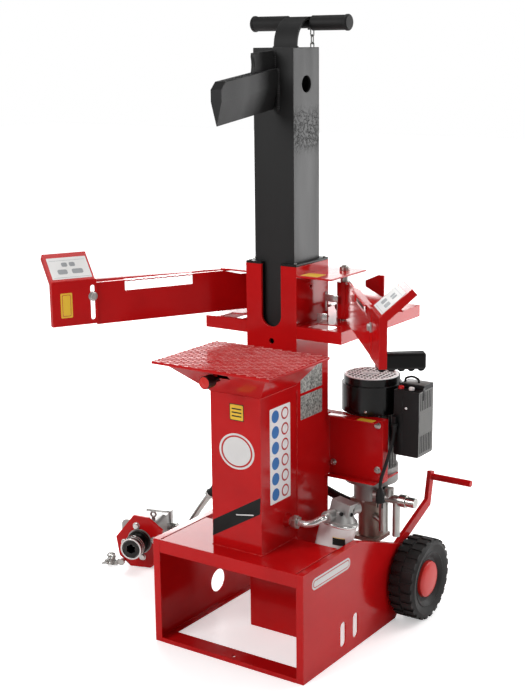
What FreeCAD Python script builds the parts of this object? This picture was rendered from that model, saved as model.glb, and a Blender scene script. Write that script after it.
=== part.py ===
import FreeCAD, Part
import math
import os
import Sketcher
from FreeCAD import Placement, Rotation, Vector

# Vertical hydraulic log splitter. Millimetres, +Z up, splitting table towards -Y,
# origin on the floor under the axis of the guide post and its sliding column.

SIZES = {
    # base box
    "base_width": 550, "base_front": 345, "base_height": 340, "base_sheet": 5,
    "base_lip": 42, "panel_flange": 25, "panel_level": 320, "panel_reach": 620,
    "panel_tail": 234, "panel_foot": 552, "base_plate_back": 110, "front_bar_depth": 75,
    "panel_hole": 76, "panel_slot_width": 30, "panel_slot_length": 80,
    # guide post and moving column
    "post_side": 180, "post_wall": 8, "post_height": 1178, "slot_width": 70,
    "slot_drop": 188, "column_side": 140, "column_wall": 8, "column_top": 1808,
    "column_length": 1108, "column_hole": 48, "column_hole_drop": 104,
    "liner_depth": 160, "liner_rim": 7, "guide_gap": 0.3, "foot_plate": 15,
    # cylinder inside the column
    "barrel_radius": 45, "barrel_bore": 37.5, "barrel_top": 1080, "rod_radius": 25,
    "gland_height": 20, "piston_height": 40, "piston_gap": 0.05, "piston_drop": 40,
    # wedge
    "blade_width": 37, "blade_height": 118, "blade_reach": 280, "blade_root": 1632,
    "blade_slope": 0.122, "edge_height": 67, "gusset_width": 12, "gusset_reach": 110,
    # top handle
    "handle_radius": 78, "handle_strip": 80, "handle_plate": 6, "handle_length": 338,
    "handle_bar": 15, "handle_grip": 18,
    # front box and table
    "tank_width": 180, "tank_front": 283, "tank_top": 822, "tank_wall": 4,
    "table_width": 414, "table_front": 410, "table_height": 923, "table_plate": 8,
    "table_socket_wall": 5, "knob_radius": 19, "knob_x": -14, "knob_height": 884,
    # arm carrier
    "pan_width": 490, "pan_back": 398, "carrier_drop": 178, "pan_rim": 37,
    "pan_sheet": 4, "pivot_x": 160, "pivot_y": 70, "pin_radius": 12.5,
    "pin_gap": 0.05, "shelf_drop": 25, "shelf_depth": 203,
    # arms
    "arm_length": 536, "arm_rise": 7, "arm_height": 127, "arm_hub_height": 112,
    "arm_hub": 23, "arm_web": 6, "window_start": 222, "window_length": 223,
    "window_depth": 32, "tooth_pitch": 19, "tooth_depth": 9,
    "left_angle": 29, "right_angle": 39,
    "end_length": 135, "end_height": 134, "end_sheet": 5, "end_flange": 16,
    "end_slot": 14, "end_slot_length": 104, "sign_rise": 71, "sign_run": 81,
    "grip_length": 130, "grip_height": 50, "grip_thickness": 34, "grip_reach": 62,
    "left_grip_rise": 93, "right_grip_rise": 13,
    # wheels
    "wheel_radius": 132.5, "wheel_width": 90, "wheel_y": 270, "rim_radius": 84,
    "wheel_gap": 5, "axle_radius": 10,
    # hitch
    "hitch_pin": 11, "hitch_pin_length": 142, "hitch_inset": 18, "hitch_plate": 14,
    # motor stack
    "motor_x": 181, "motor_gap": 25, "motor_radius": 80, "motor_low": 513,
    "motor_high": 700, "flange_low": 460, "cover_margin": 15, "cover_top": 806,
    "cover_low": 692, "cover_wall": 3, "shaft_radius": 14,
    "bracket_front": 100, "bracket_margin": 20, "bracket_low": 490, "bracket_high": 690,
    "bracket_sheet": 5, "control_gap": 9, "control_y": 150, "control_low": 572,
    "control_high": 796, "control_step": 14, "control_width": 86, "control_depth": 96,
    # pump and filter
    "bell_radius": 55, "bell_low": 400, "pump_radius": 40, "pump_low": 262,
    "filter_x": 200, "filter_y": -24, "filter_radius": 57, "filter_top": 391,
    "filter_length": 120, "filter_tilt": 12,
    # power take-off unit
    "unit_x": -690, "unit_y": 80, "unit_turn": 17, "unit_plate": 10, "unit_axis": 100,
    "gearbox_depth": 85, "gearbox_width": 140, "sleeve_length": 78, "sleeve_radius": 30,
    "spline_radius": 17.5, "collar_radius": 35,
}

doc = FreeCAD.newDocument("LogSplitter")
dim = doc.addObject("Spreadsheet::Sheet", "dim")
for row, (alias, value) in enumerate(SIZES.items(), start=1):
    dim.set(f"A{row}", alias)
    dim.set(f"B{row}", str(value))
    dim.setAlias(f"B{row}", alias)
doc.recompute()

X, Y, Z = Vector(1, 0, 0), Vector(0, 1, 0), Vector(0, 0, 1)
TURN = {"x": Rotation(Y, 90), "y": Rotation(X, -90), "z": Rotation()}
PLANE = {"xy": "XY_Plane", "xz": "XZ_Plane", "yz": "YZ_Plane"}
PARTS = []


def size(alias):
    return float(getattr(dim, alias))


# Levels and places that several sub-parts share, worked out from the sheet.
PAN_TOP = size("post_height") - size("carrier_drop")
SHELF_TOP = size("post_height") - size("shelf_drop")
ARM_LOW = PAN_TOP + size("arm_rise")
MOTOR_Y = size("bracket_front") + size("motor_gap") + size("motor_radius")
BRACKET_RIGHT = size("motor_x") + size("motor_radius") + size("bracket_margin")
CONTROL_X = BRACKET_RIGHT + size("control_gap")


def named(obj, label):
    """Make an object one of the sub-parts, under the name that its file gets."""
    obj.Label = label
    PARTS.append(obj)
    return obj


def bind(obj, prop, value):
    """Tie a property to the sheet, or set it when the value is a plain number."""
    if isinstance(value, str):
        obj.setExpression(prop, value)
    else:
        obj.setExpression(prop, repr(float(value)))


def place(obj, corner, rotation=None):
    if rotation is not None:
        obj.Placement = Placement(Vector(), rotation)
    for axis, value in zip("xyz", corner):
        bind(obj, f"Placement.Base.{axis}", value)
    return obj


def box(name, corner, extent):
    obj = doc.addObject("Part::Box", name)
    for prop, value in zip(("Length", "Width", "Height"), extent):
        bind(obj, prop, value)
    return place(obj, corner)


def rod(name, axis, start, radius, length):
    obj = doc.addObject("Part::Cylinder", name)
    bind(obj, "Radius", radius)
    bind(obj, "Height", length)
    return place(obj, start, TURN[axis])


def fuse(name, shapes):
    obj = doc.addObject("Part::MultiFuse", name)
    obj.Shapes = shapes
    obj.Refine = True
    return obj


def cut(name, base, tools):
    obj = doc.addObject("Part::Cut", name)
    obj.Base = base
    obj.Tool = tools[0] if len(tools) == 1 else fuse(f"{name}_tools", tools)
    obj.Refine = True
    return obj


def outline(body, plane, points, offset):
    """A closed straight-sided sketch whose corners are all tied to the sheet."""
    sketch = body.newObject("Sketcher::SketchObject", f"{body.Name}_sketch")
    support = [f for f in body.Origin.OriginFeatures if f.Role == PLANE[plane]][0]
    sketch.AttachmentSupport = [(support, "")]
    sketch.MapMode = "FlatFace"
    bind(sketch, "AttachmentOffset.Base.z", offset)
    rough = [Vector(math.cos(i), math.sin(i), 0) for i in range(len(points))]
    for i, start in enumerate(rough):
        sketch.addGeometry(Part.LineSegment(start, rough[(i + 1) % len(rough)]), False)
    for i in range(len(points)):
        sketch.addConstraint(Sketcher.Constraint("Coincident", i, 2, (i + 1) % len(points), 1))
    for i, (across, up) in enumerate(points):
        for kind, value in (("DistanceX", across), ("DistanceY", up)):
            number = sketch.addConstraint(Sketcher.Constraint(kind, -1, 1, i, 1, 1.0))
            bind(sketch, f"Constraints[{number}]", value)
    return sketch


def pad(name, plane, points, offset, length):
    """A plate of straight-sided outline, padded from its plane's offset."""
    body = doc.addObject("PartDesign::Body", name)
    sketch = outline(body, plane, points, offset)
    feature = body.newObject("PartDesign::Pad", f"{name}_pad")
    feature.Profile = sketch
    bind(feature, "Length", length)
    sketch.Visibility = False
    return body


def feature(name, shape, placement=None):
    obj = doc.addObject("Part::Feature", name)
    obj.Shape = shape
    if placement is not None:
        obj.Placement = placement
    return obj


def prism(points, start, direction):
    """A solid from a closed outline in space, swept straight."""
    wire = Part.makePolygon([start + p for p in points] + [start + points[0]])
    return Part.Face(wire).extrude(direction)


def smooth_path(points):
    """Straight runs joined by tangent arcs, as large as the runs beside them allow."""
    edges, last, radii = [], points[0], []
    for before, corner, after in zip(points, points[1:], points[2:]):
        run_in, run_out = corner - before, after - corner
        turn = run_in.getAngle(run_out)
        reach = 0.45 * min(run_in.Length, run_out.Length)
        radii.append(reach / math.tan(turn / 2))
        start = corner - run_in.normalize() * reach
        end = corner + run_out.normalize() * reach
        bisector = (start + end) * 0.5 - corner
        bisector.normalize()
        centre_gap = radii[-1] / math.cos(turn / 2)
        middle = corner + bisector * (centre_gap - radii[-1])
        edges.append(Part.LineSegment(last, start).toShape())
        edges.append(Part.Arc(start, middle, end).toShape())
        last = end
    edges.append(Part.LineSegment(last, points[-1]).toShape())
    return Part.Wire(edges), radii


def tube(points, radius, name):
    """A round cord, hose or pipe along a smooth path, with its volume checked."""
    path, radii = smooth_path(points)
    direction = points[1] - points[0]
    ring = Part.Wire(Part.makeCircle(radius, points[0], direction))
    solid = path.makePipeShell([ring], True, True)
    expected = math.pi * radius ** 2 * path.Length
    if abs(solid.Volume - expected) > 0.02 * expected:
        raise ValueError(f"{name}: swept volume {solid.Volume:.0f}, expected {expected:.0f}")
    smallest = f"smallest radius {min(radii):.1f}" if radii else "straight"
    print(f"{name}: length {path.Length:.0f} mm, {smallest}, diameter {2 * radius:.1f}")
    return solid


# ---------------------------------------------------------------- base box

half_base = "dim.base_width/2"
front = "-dim.base_front"


def side_panel(side):
    """Bent sheet tray: an upright web with a flange turned in along every edge."""
    corners = [
        (front, "0"), ("dim.panel_foot - dim.base_front", "0"),
        ("dim.panel_foot - dim.base_front + 33", "32"), ("dim.panel_reach - dim.base_front + 35", "90"),
        ("dim.panel_reach - dim.base_front + 35", "170"),
        ("dim.panel_reach - dim.base_front", "dim.panel_tail"),
        ("dim.panel_level - dim.base_front", "dim.base_height"), (front, "dim.base_height"),
    ]
    moves = [(1, 1), (-0.4, 1), (-0.3, 1.1), (-1, 0.6), (-1, -0.4), (-0.7, -1), (-0.3, -1), (1, -1)]
    inner = [(f"{a} + {dx}*dim.base_sheet", f"{b} + {dz}*dim.base_sheet")
             for (a, b), (dx, dz) in zip(corners, moves)]
    name = "base_panel_right" if side > 0 else "base_panel_left"
    outer_start = "dim.base_width/2 - dim.panel_flange" if side > 0 else "-dim.base_width/2"
    inner_start = outer_start if side > 0 else "-dim.base_width/2 + dim.base_sheet"
    tray = pad(f"{name}_outer", "yz", corners, outer_start, "dim.panel_flange")
    hollow = pad(f"{name}_hollow", "yz", inner, inner_start, "dim.panel_flange - dim.base_sheet")
    through = "dim.base_width/2 - 2*dim.base_sheet" if side > 0 else "-dim.base_width/2 - dim.base_sheet"
    axle_hole = rod(f"{name}_axle_hole", "x", (through, "dim.wheel_y", "dim.wheel_radius"),
                    "dim.axle_radius", "3*dim.base_sheet")
    tools = [hollow, axle_hole]
    if side < 0:
        tools.append(rod(f"{name}_window", "x", (through, "-18", "85"), "dim.panel_hole/2",
                         "3*dim.base_sheet"))
    else:
        for number, (along, up) in enumerate(((-122, 48), (-48, 50))):
            width, length = "dim.panel_slot_width", "dim.panel_slot_length"
            tools.append(box(f"{name}_slot{number}", (through, f"{along} - {width}/2", f"{up}"),
                             ("3*dim.base_sheet", width, f"{length} - {width}")))
            for end, height in (("low", f"{up}"), ("high", f"{up} + {length} - {width}")):
                tools.append(rod(f"{name}_slot{number}_{end}", "x", (through, f"{along}", height),
                                 f"{width}/2", "3*dim.base_sheet"))
    return named(cut(f"{name}_cut", tray, tools), name)


for side in (-1, 1):
    side_panel(side)

# Top plate with its front edge folded down between the panels' flanges.
plate_half = "dim.base_width/2 - dim.panel_flange"
top_plate = fuse("base_top_plate_fuse", [
    box("top_sheet", (f"4 - ({plate_half})", front, "dim.base_height - dim.base_sheet"),
        (f"2*({plate_half}) - 8", "dim.base_front - dim.base_plate_back", "dim.base_sheet")),
    box("top_lip", (f"-({plate_half})", front, "dim.base_height - dim.base_lip"),
        (f"2*({plate_half})", "dim.base_sheet", "dim.base_lip")),
])
named(top_plate, "base_top_plate")

# Front floor bar: an angle whose upright leg is a low lip.
front_bar = fuse("base_front_bar_fuse", [
    box("bar_leg", (f"-({plate_half})", front, "0"),
        (f"2*({plate_half})", "dim.front_bar_depth", "dim.base_sheet")),
    box("bar_lip", (f"-({plate_half})", front, "0"), (f"2*({plate_half})", "dim.base_sheet", "14")),
])
bar_hole = rod("bar_hole", "z", ("0", "-dim.base_front + dim.front_bar_depth/2", "-1"), "6", "20")
named(cut("base_front_bar_cut", front_bar, [bar_hole]), "base_front_bar")

# Rear beam between the panels, with two ribs that carry it to the post and the axle stubs.
beam_side = 50
web_inner = "dim.base_width/2 - dim.base_sheet"
beam = box("beam", (f"-({web_inner})", f"dim.wheel_y - {beam_side / 2}", f"dim.wheel_radius - {beam_side / 2}"),
           (f"2*({web_inner})", beam_side, beam_side))
ribs = [box(f"beam_rib_{n}", (x, "dim.post_side/2", f"dim.wheel_radius - {beam_side / 2}"),
            (10, f"dim.wheel_y - {beam_side / 2} - dim.post_side/2", beam_side))
        for n, x in enumerate((-70, 60))]
stub = "dim.base_width/2 + dim.wheel_gap + dim.wheel_width - 14"
stubs = [rod("axle_left", "x", (f"-({stub})", "dim.wheel_y", "dim.wheel_radius"), "dim.axle_radius",
             f"{stub} - ({web_inner}) + 10"),
         rod("axle_right", "x", (f"{web_inner} - 10", "dim.wheel_y", "dim.wheel_radius"),
             "dim.axle_radius", f"{stub} - ({web_inner}) + 10")]
named(fuse("axle_beam_fuse", [beam] + ribs + stubs), "axle_beam")

# ---------------------------------------------------------------- guide post

half_post = "dim.post_side/2"
post_outer = box("post_outer", (f"-{half_post}", f"-{half_post}", "0"),
                 ("dim.post_side", "dim.post_side", "dim.post_height"))
post_tools = [
    box("post_bore", ("dim.post_wall - dim.post_side/2", "dim.post_wall - dim.post_side/2", "-1"),
        ("dim.post_side - 2*dim.post_wall", "dim.post_side - 2*dim.post_wall", "dim.post_height + 2")),
    box("post_slot",
        ("-dim.slot_width/2", f"-{half_post} - 1", "dim.post_height - dim.slot_drop + dim.slot_width/2"),
        ("dim.slot_width", "dim.post_wall + 2", "dim.post_height")),
    rod("post_slot_end", "y", ("0", f"-{half_post} - 1", "dim.post_height - dim.slot_drop + dim.slot_width/2"),
        "dim.slot_width/2", "dim.post_wall + 2"),
    rod("post_front_hole", "y", ("0", f"-{half_post} - 1", "dim.post_height - dim.slot_drop - 44"), "9",
        "dim.post_wall + 2"),
    rod("post_side_hole", "x", (f"{half_post} - dim.post_wall - 1", "-9", "dim.post_height - 68"),
        "6", "dim.post_wall + 2"),
]
named(cut("guide_post_cut", post_outer, post_tools), "guide_post")

inner_side = "dim.post_side - 2*dim.post_wall"
foot = box("foot_plate_box", (f"-({inner_side})/2", f"-({inner_side})/2", "0"),
           (inner_side, inner_side, "dim.foot_plate"))
named(foot, "foot_plate")

# Plastic liner: a rim on the post's end and a sleeve down inside it, open at the slot.
liner_bore = "dim.column_side + 2*dim.guide_gap"
liner_blank = fuse("liner_blank", [
    box("liner_flange", (f"-{half_post}", f"-{half_post}", "dim.post_height"),
        ("dim.post_side", "dim.post_side", "dim.liner_rim")),
    box("liner_sleeve", (f"-({inner_side})/2", f"-({inner_side})/2", "dim.post_height - dim.liner_depth"),
        (inner_side, inner_side, "dim.liner_depth")),
])
liner_tools = [
    box("liner_bore", (f"-({liner_bore})/2", f"-({liner_bore})/2", "dim.post_height - dim.liner_depth - 1"),
        (liner_bore, liner_bore, "dim.liner_depth + dim.liner_rim + 2")),
    box("liner_slot", ("-dim.slot_width/2", f"-{half_post} - 1", "dim.post_height - dim.liner_depth - 1"),
        ("dim.slot_width", "dim.post_side/2", "dim.liner_depth + dim.liner_rim + 2")),
]
named(cut("guide_liner_cut", liner_blank, liner_tools), "guide_liner")

# ---------------------------------------------------------------- moving column

half_column = "dim.column_side/2"
column_low = "dim.column_top - dim.column_length"
column_inner = "dim.column_side - 2*dim.column_wall"
column_blank = box("column_blank", (f"-{half_column}", f"-{half_column}", column_low),
                   ("dim.column_side", "dim.column_side", "dim.column_length"))
column_tools = [
    box("column_bore", (f"-({column_inner})/2", f"-({column_inner})/2", f"{column_low} - 1"),
        (column_inner, column_inner, "dim.column_length + 1 - dim.column_wall")),
    rod("column_eye", "x", (f"-{half_column} - 1", "0", "dim.column_top - dim.column_hole_drop"),
        "dim.column_hole/2", "dim.column_side + 2"),
]
named(cut("column_cut", column_blank, column_tools), "column")

# Splitting wedge: a five-sided blade that leans down towards its tip.
half_blade = "dim.blade_width/2"
blade = pad("blade", "xz", [
    ("0", "0"), (half_blade, "dim.edge_height"), (half_blade, "dim.blade_height"),
    (f"-{half_blade}", "dim.blade_height"), (f"-{half_blade}", "dim.edge_height"),
], "0", "dim.blade_reach*1.3")
blade_lean = math.degrees(math.atan(size("blade_slope")))
place(blade, ("0", "0.2*dim.blade_reach - dim.column_side/2",
              "dim.blade_root + 0.2*dim.blade_reach*dim.blade_slope"), Rotation(X, blade_lean))
blade_limit = pad("blade_limit", "yz", [
    (f"-{half_column}", "dim.blade_root - 100"), (f"-{half_column}", "dim.blade_root + 200"),
    (f"-{half_column} - dim.blade_reach + 26", "dim.blade_root + 200"),
    (f"-{half_column} - dim.blade_reach + 26", "dim.blade_root + 92"),
    (f"-{half_column} - dim.blade_reach", "dim.blade_root + 66"),
    (f"-{half_column} - dim.blade_reach", "dim.blade_root - 100"),
], "-50", "100")
wedge = doc.addObject("Part::Common", "wedge_common")
wedge.Base = blade
wedge.Tool = blade_limit
named(wedge, "wedge")

# Gusset between blade and column, with a hollow curved front edge.
gusset_low = "dim.blade_root + dim.blade_height*1.0075"
gusset_blank = pad("gusset_blank", "yz", [
    (f"-{half_column}", f"{gusset_low}"),
    (f"-{half_column} - dim.gusset_reach", f"{gusset_low} - dim.blade_slope*dim.gusset_reach"),
    (f"-{half_column} - dim.gusset_reach + 6", "dim.column_top - 14"),
    (f"-{half_column}", "dim.column_top - 8"),
], "-dim.gusset_width/2", "dim.gusset_width")
gusset_scoop = rod("gusset_scoop", "x", ("-dim.gusset_width/2 - 1",
                                         f"-{half_column} - dim.gusset_reach - 62", "dim.column_top - 46"),
                   "70", "dim.gusset_width + 2")
named(cut("wedge_gusset_cut", gusset_blank, [gusset_scoop]), "wedge_gusset")


CHAIN_X, CHAIN_Y = 24.0, size("handle_radius") + 27
CHAIN_EYE = size("column_top") + 58


def handle_arm_shape():
    """Bent strip that rises from the column's cap and curls back over the round bar."""
    inner, thick = size("handle_radius"), size("handle_plate")
    width, base, leg = size("handle_strip"), size("column_top"), 4.0
    centre = Vector(0, inner, base + leg)
    shell = Part.makeCylinder(inner + thick, width, centre - X * width / 2, X)
    shell = shell.cut(Part.makeCylinder(inner, width, centre - X * width / 2, X))
    quarter = Part.makeBox(width, inner + thick, inner + thick,
                           Vector(-width / 2, -thick, base + leg))
    leg_box = Part.makeBox(width, thick, leg, Vector(-width / 2, -thick, base))
    strip = shell.common(quarter).fuse(leg_box)
    radius = size("handle_bar")
    bar_z = base + leg + inner - radius + 2
    half = size("handle_length") / 2 - 4
    bar = Part.makeCylinder(radius, 2 * half, Vector(-half, inner, bar_z), X)
    hanger = Part.makeBox(6, 30, 26, Vector(CHAIN_X - 3, inner + 6, CHAIN_EYE - 8))
    eye = Part.makeCylinder(4.5, 8, Vector(CHAIN_X - 4, CHAIN_Y, CHAIN_EYE), X)
    return strip.fuse([bar, hanger]).cut(eye).removeSplitter()


named(feature("handle_arm_shape", handle_arm_shape()), "top_handle")


def handle_grips_shape():
    """Two rubber sleeves with a flange at each outer end, closed over the bar's ends."""
    inner, radius = size("handle_radius"), size("handle_bar")
    bar_z = size("column_top") + 6 + inner - radius
    start, end = size("handle_strip") / 2 + 3, size("handle_length") / 2
    grips = []
    for side in (-1, 1):
        axis = X * side
        foot = Vector(side * start, inner, bar_z)
        sleeve = Part.makeCylinder(size("handle_grip"), end - start, foot, axis)
        flange = Part.makeCylinder(size("handle_grip") + 3, 8, Vector(side * (end - 8), inner, bar_z), axis)
        hole = Part.makeCylinder(radius + 0.02, end - start - 4, foot, axis)
        grips.append(sleeve.fuse(flange).cut(hole).removeSplitter())
    return Part.makeCompound(grips)


named(feature("handle_grips_shape", handle_grips_shape()), "handle_grips")


def link(centre, long_axis, wide_axis, length, width, wire):
    """One chain link: two half rings joined by straight sides."""
    normal = long_axis.cross(wide_axis)
    reach, bend = length / 2 - width / 2, width / 2 - wire
    bend_radius = bend + wire / 2
    corners = []
    for end in (-1, 1):
        for side in (-1, 1):
            corners.append(centre + long_axis * reach * end + wide_axis * bend_radius * side)
    far = centre + long_axis * (reach + bend_radius)
    near = centre - long_axis * (reach + bend_radius)
    edges = [Part.LineSegment(corners[0], corners[2]).toShape(),
             Part.Arc(corners[2], far, corners[3]).toShape(),
             Part.LineSegment(corners[3], corners[1]).toShape(),
             Part.Arc(corners[1], near, corners[0]).toShape()]
    ring = Part.Wire(Part.makeCircle(wire / 2, corners[0], long_axis))
    return Part.Wire(edges).makePipeShell([ring], True, True)


def stop_chain_shape():
    """Chain that hangs behind the column from the handle's strip."""
    pitch, width, wire = 22.0, 15.0, 4.0
    count = 34
    top = CHAIN_EYE - 13.7
    links = []
    for number in range(count):
        centre = Vector(CHAIN_X, CHAIN_Y, top - number * pitch)
        wide = Y if number % 2 else X
        links.append(link(centre, Z, wide, pitch + 2 * wire + 0.1, width, wire))
    return links


named(feature("stop_chain_shape", Part.makeCompound(stop_chain_shape())), "stop_chain")

# ---------------------------------------------------------------- cylinder

barrel_base = "dim.foot_plate"
barrel_blank = rod("barrel_blank", "z", ("0", "0", barrel_base), "dim.barrel_radius",
                   f"dim.barrel_top - {barrel_base}")
barrel_tools = [
    rod("barrel_bore", "z", ("0", "0", f"{barrel_base} + 20"), "dim.barrel_bore",
        f"dim.barrel_top - {barrel_base} - 20 - dim.gland_height"),
    rod("barrel_mouth", "z", ("0", "0", "dim.barrel_top - dim.gland_height - 1"),
        "dim.rod_radius + dim.piston_gap", "dim.gland_height + 2"),
]
named(cut("cylinder_barrel_cut", barrel_blank, barrel_tools), "cylinder_barrel")

piston_low = "dim.barrel_top - dim.gland_height - dim.piston_drop - dim.piston_height"
named(fuse("piston_rod_fuse", [
    rod("piston", "z", ("0", "0", piston_low), "dim.barrel_bore - dim.piston_gap", "dim.piston_height"),
    rod("rod_bar", "z", ("0", "0", piston_low), "dim.rod_radius",
        f"dim.column_top - dim.column_wall - ({piston_low})"),
]), "piston_rod")

# ---------------------------------------------------------------- front box and table

tank_depth = "dim.tank_front - dim.post_side/2"
tank_blank = box("tank_blank", ("-dim.tank_width/2", "-dim.tank_front", "dim.base_height"),
                 ("dim.tank_width", tank_depth, "dim.tank_top - dim.base_height"))
tank_hollow = box("tank_hollow", ("dim.tank_wall - dim.tank_width/2", "dim.tank_wall - dim.tank_front",
                                  "dim.base_height + dim.tank_wall"),
                  ("dim.tank_width - 2*dim.tank_wall", f"{tank_depth} - 2*dim.tank_wall",
                   "dim.tank_top - dim.base_height - 2*dim.tank_wall"))
tank_port = rod("tank_port", "x", ("dim.tank_width/2 - dim.tank_wall - 1", "-147", "411"), "10",
                "dim.tank_wall + 2")
named(cut("front_box_cut", tank_blank, [tank_hollow, tank_port]), "front_box")

table_low = "dim.table_height - dim.table_plate"
half_table = "dim.table_width/2"
table_blank = box("table_blank", (f"-{half_table}", "-dim.table_front", table_low),
                  ("dim.table_width", "dim.table_front - dim.post_side/2 - dim.guide_gap", "dim.table_plate"))
named(table_blank, "table_plate")


def socket_shape():
    """Table support: a flared open skirt over a straight socket that fits the front box."""
    wall, top = size("table_socket_wall"), size("table_height") - size("table_plate")
    tank_top, half = size("tank_top"), size("tank_width") / 2
    front_y, back_y = -size("tank_front"), -size("post_side") / 2
    gap = size("guide_gap")
    wide = size("table_width") / 2 - 24
    reach = -size("table_front") + 24

    def ring(x, y_front, y_back, z):
        return Part.makePolygon([Vector(-x, y_front, z), Vector(x, y_front, z), Vector(x, y_back, z),
                                 Vector(-x, y_back, z), Vector(-x, y_front, z)])

    back = back_y - gap
    outer = Part.makeLoft([ring(half, front_y, back, tank_top + gap), ring(wide, reach, back, top)], True, True)
    inner = Part.makeLoft([ring(half - wall, front_y + wall, back - wall, tank_top + gap + wall),
                           ring(wide - wall, reach + wall, back - wall, top + 0.01)], True, True)
    plug = Part.makeBox(2 * (half - size("tank_wall")) - 40, 120, wall, Vector(
        20 + size("tank_wall") - half, front_y + 30, tank_top + gap))
    knob_hole = Part.makeCylinder(10, 200, Vector(size("knob_x"), reach - 40, size("knob_height")), Y)
    slit = Part.makeBox(46, 110, 14, Vector(size("knob_x") + 6, reach - 10, size("knob_height") + 4))
    skirt = outer.cut(inner).cut(knob_hole).cut(slit)
    return skirt.fuse(plug).removeSplitter()


named(feature("table_bracket_shape", socket_shape()), "table_bracket")


def knob_shape():
    """Round hand knob on a plunger, with a flange against the skirt's inner side."""
    x, z = size("knob_x"), size("knob_height")
    head_y = -size("table_front") - 2
    head = Part.makeCylinder(size("knob_radius"), 34, Vector(x, head_y, z), Y)
    stem = Part.makeCylinder(9.95, 80, Vector(x, head_y + 34, z), Y)
    return head.fuse(stem).removeSplitter()


named(feature("lock_knob_shape", knob_shape()), "lock_knob")

# ---------------------------------------------------------------- arm carrier


def pan_shape():
    """Folded pan welded round the post: floor with openings, and a rim turned down."""
    half, back, top = size("pan_width") / 2, size("pan_back"), PAN_TOP
    sheet, rim, post = size("pan_sheet"), size("pan_rim"), size("post_side") / 2
    outer = Part.makeBox(2 * half, back + post, rim, Vector(-half, -post, top - rim))
    hollow = Part.makeBox(2 * (half - sheet), back + post - 2 * sheet, rim - sheet,
                          Vector(sheet - half, sheet - post, top - rim))
    tray = outer.cut(hollow)
    tray = tray.cut(Part.makeBox(2 * post, 2 * post, rim + 2, Vector(-post, -post, top - rim - 1)))
    for side in (-1, 1):
        start = 118 if side > 0 else -198
        tray = tray.cut(Part.makeBox(80, 62, sheet + 2, Vector(start, 16 - post, top - sheet - 1)))
        pin = Vector(side * size("pivot_x"), size("pivot_y"), top - rim - 1)
        tray = tray.cut(Part.makeCylinder(size("pin_radius"), rim + 2, pin, Z))
        boss = Part.makeCylinder(24, rim - sheet, Vector(pin.x, pin.y, top - rim), Z)
        bore = Part.makeCylinder(size("pin_radius"), rim, Vector(pin.x, pin.y, top - rim), Z)
        tray = tray.fuse(boss.cut(bore))
    tray = tray.cut(Part.makeBox(50, 50, rim + 2, Vector(9, post, top - rim - 1)))
    bracket = prism([Vector(0, 0, 0), Vector(66, 0, 0), Vector(66, 0, 113), Vector(46, 0, 113),
                     Vector(0, 0, 92)], Vector(130, 247, top), Y * 6)
    return tray.fuse(bracket).removeSplitter()


named(feature("arm_pan_shape", pan_shape()), "arm_pan")


def upper_plates_shape():
    """Two plates welded to the post's sides above the arm hubs, the left one narrower."""
    post, sheet, depth = size("post_side") / 2, 5.0, size("shelf_depth")
    level = SHELF_TOP - sheet
    px, py = size("pivot_x"), size("pivot_y")
    left = Part.makeBox(px + 26 - post, depth, sheet, Vector(-px - 26, -post, level))
    right = Part.makeBox(px + 50 - post, depth, sheet, Vector(post, -post, level))
    plates = []
    for plate, x in ((left, -px), (right, px)):
        plates.append(plate.cut(Part.makeCylinder(size("pin_radius"), sheet + 2, Vector(x, py, level - 1), Z)))
    return Part.makeCompound(plates)


named(feature("arm_shelves_shape", upper_plates_shape()), "arm_shelves")


def pivot_pins_shape():
    pins = []
    top, low = SHELF_TOP, PAN_TOP - size("pan_rim")
    for side in (-1, 1):
        foot = Vector(side * size("pivot_x"), size("pivot_y"), low)
        pin = Part.makeCylinder(size("pin_radius"), top - low, foot, Z)
        head = Part.makeCylinder(size("pin_radius") + 3, 10, Vector(foot.x, foot.y, top), Z)
        pins.append(pin.fuse(head).removeSplitter())
    return Part.makeCompound(pins)


named(feature("pivot_pins_shape", pivot_pins_shape()), "pivot_pins")


def arm_placement(side):
    """Arms are drawn along -Y from their pin and swung outwards to where they rest."""
    angle = size("right_angle") if side > 0 else -size("left_angle")
    return Placement(Vector(side * size("pivot_x"), size("pivot_y"), 0), Rotation(Z, angle))


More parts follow.
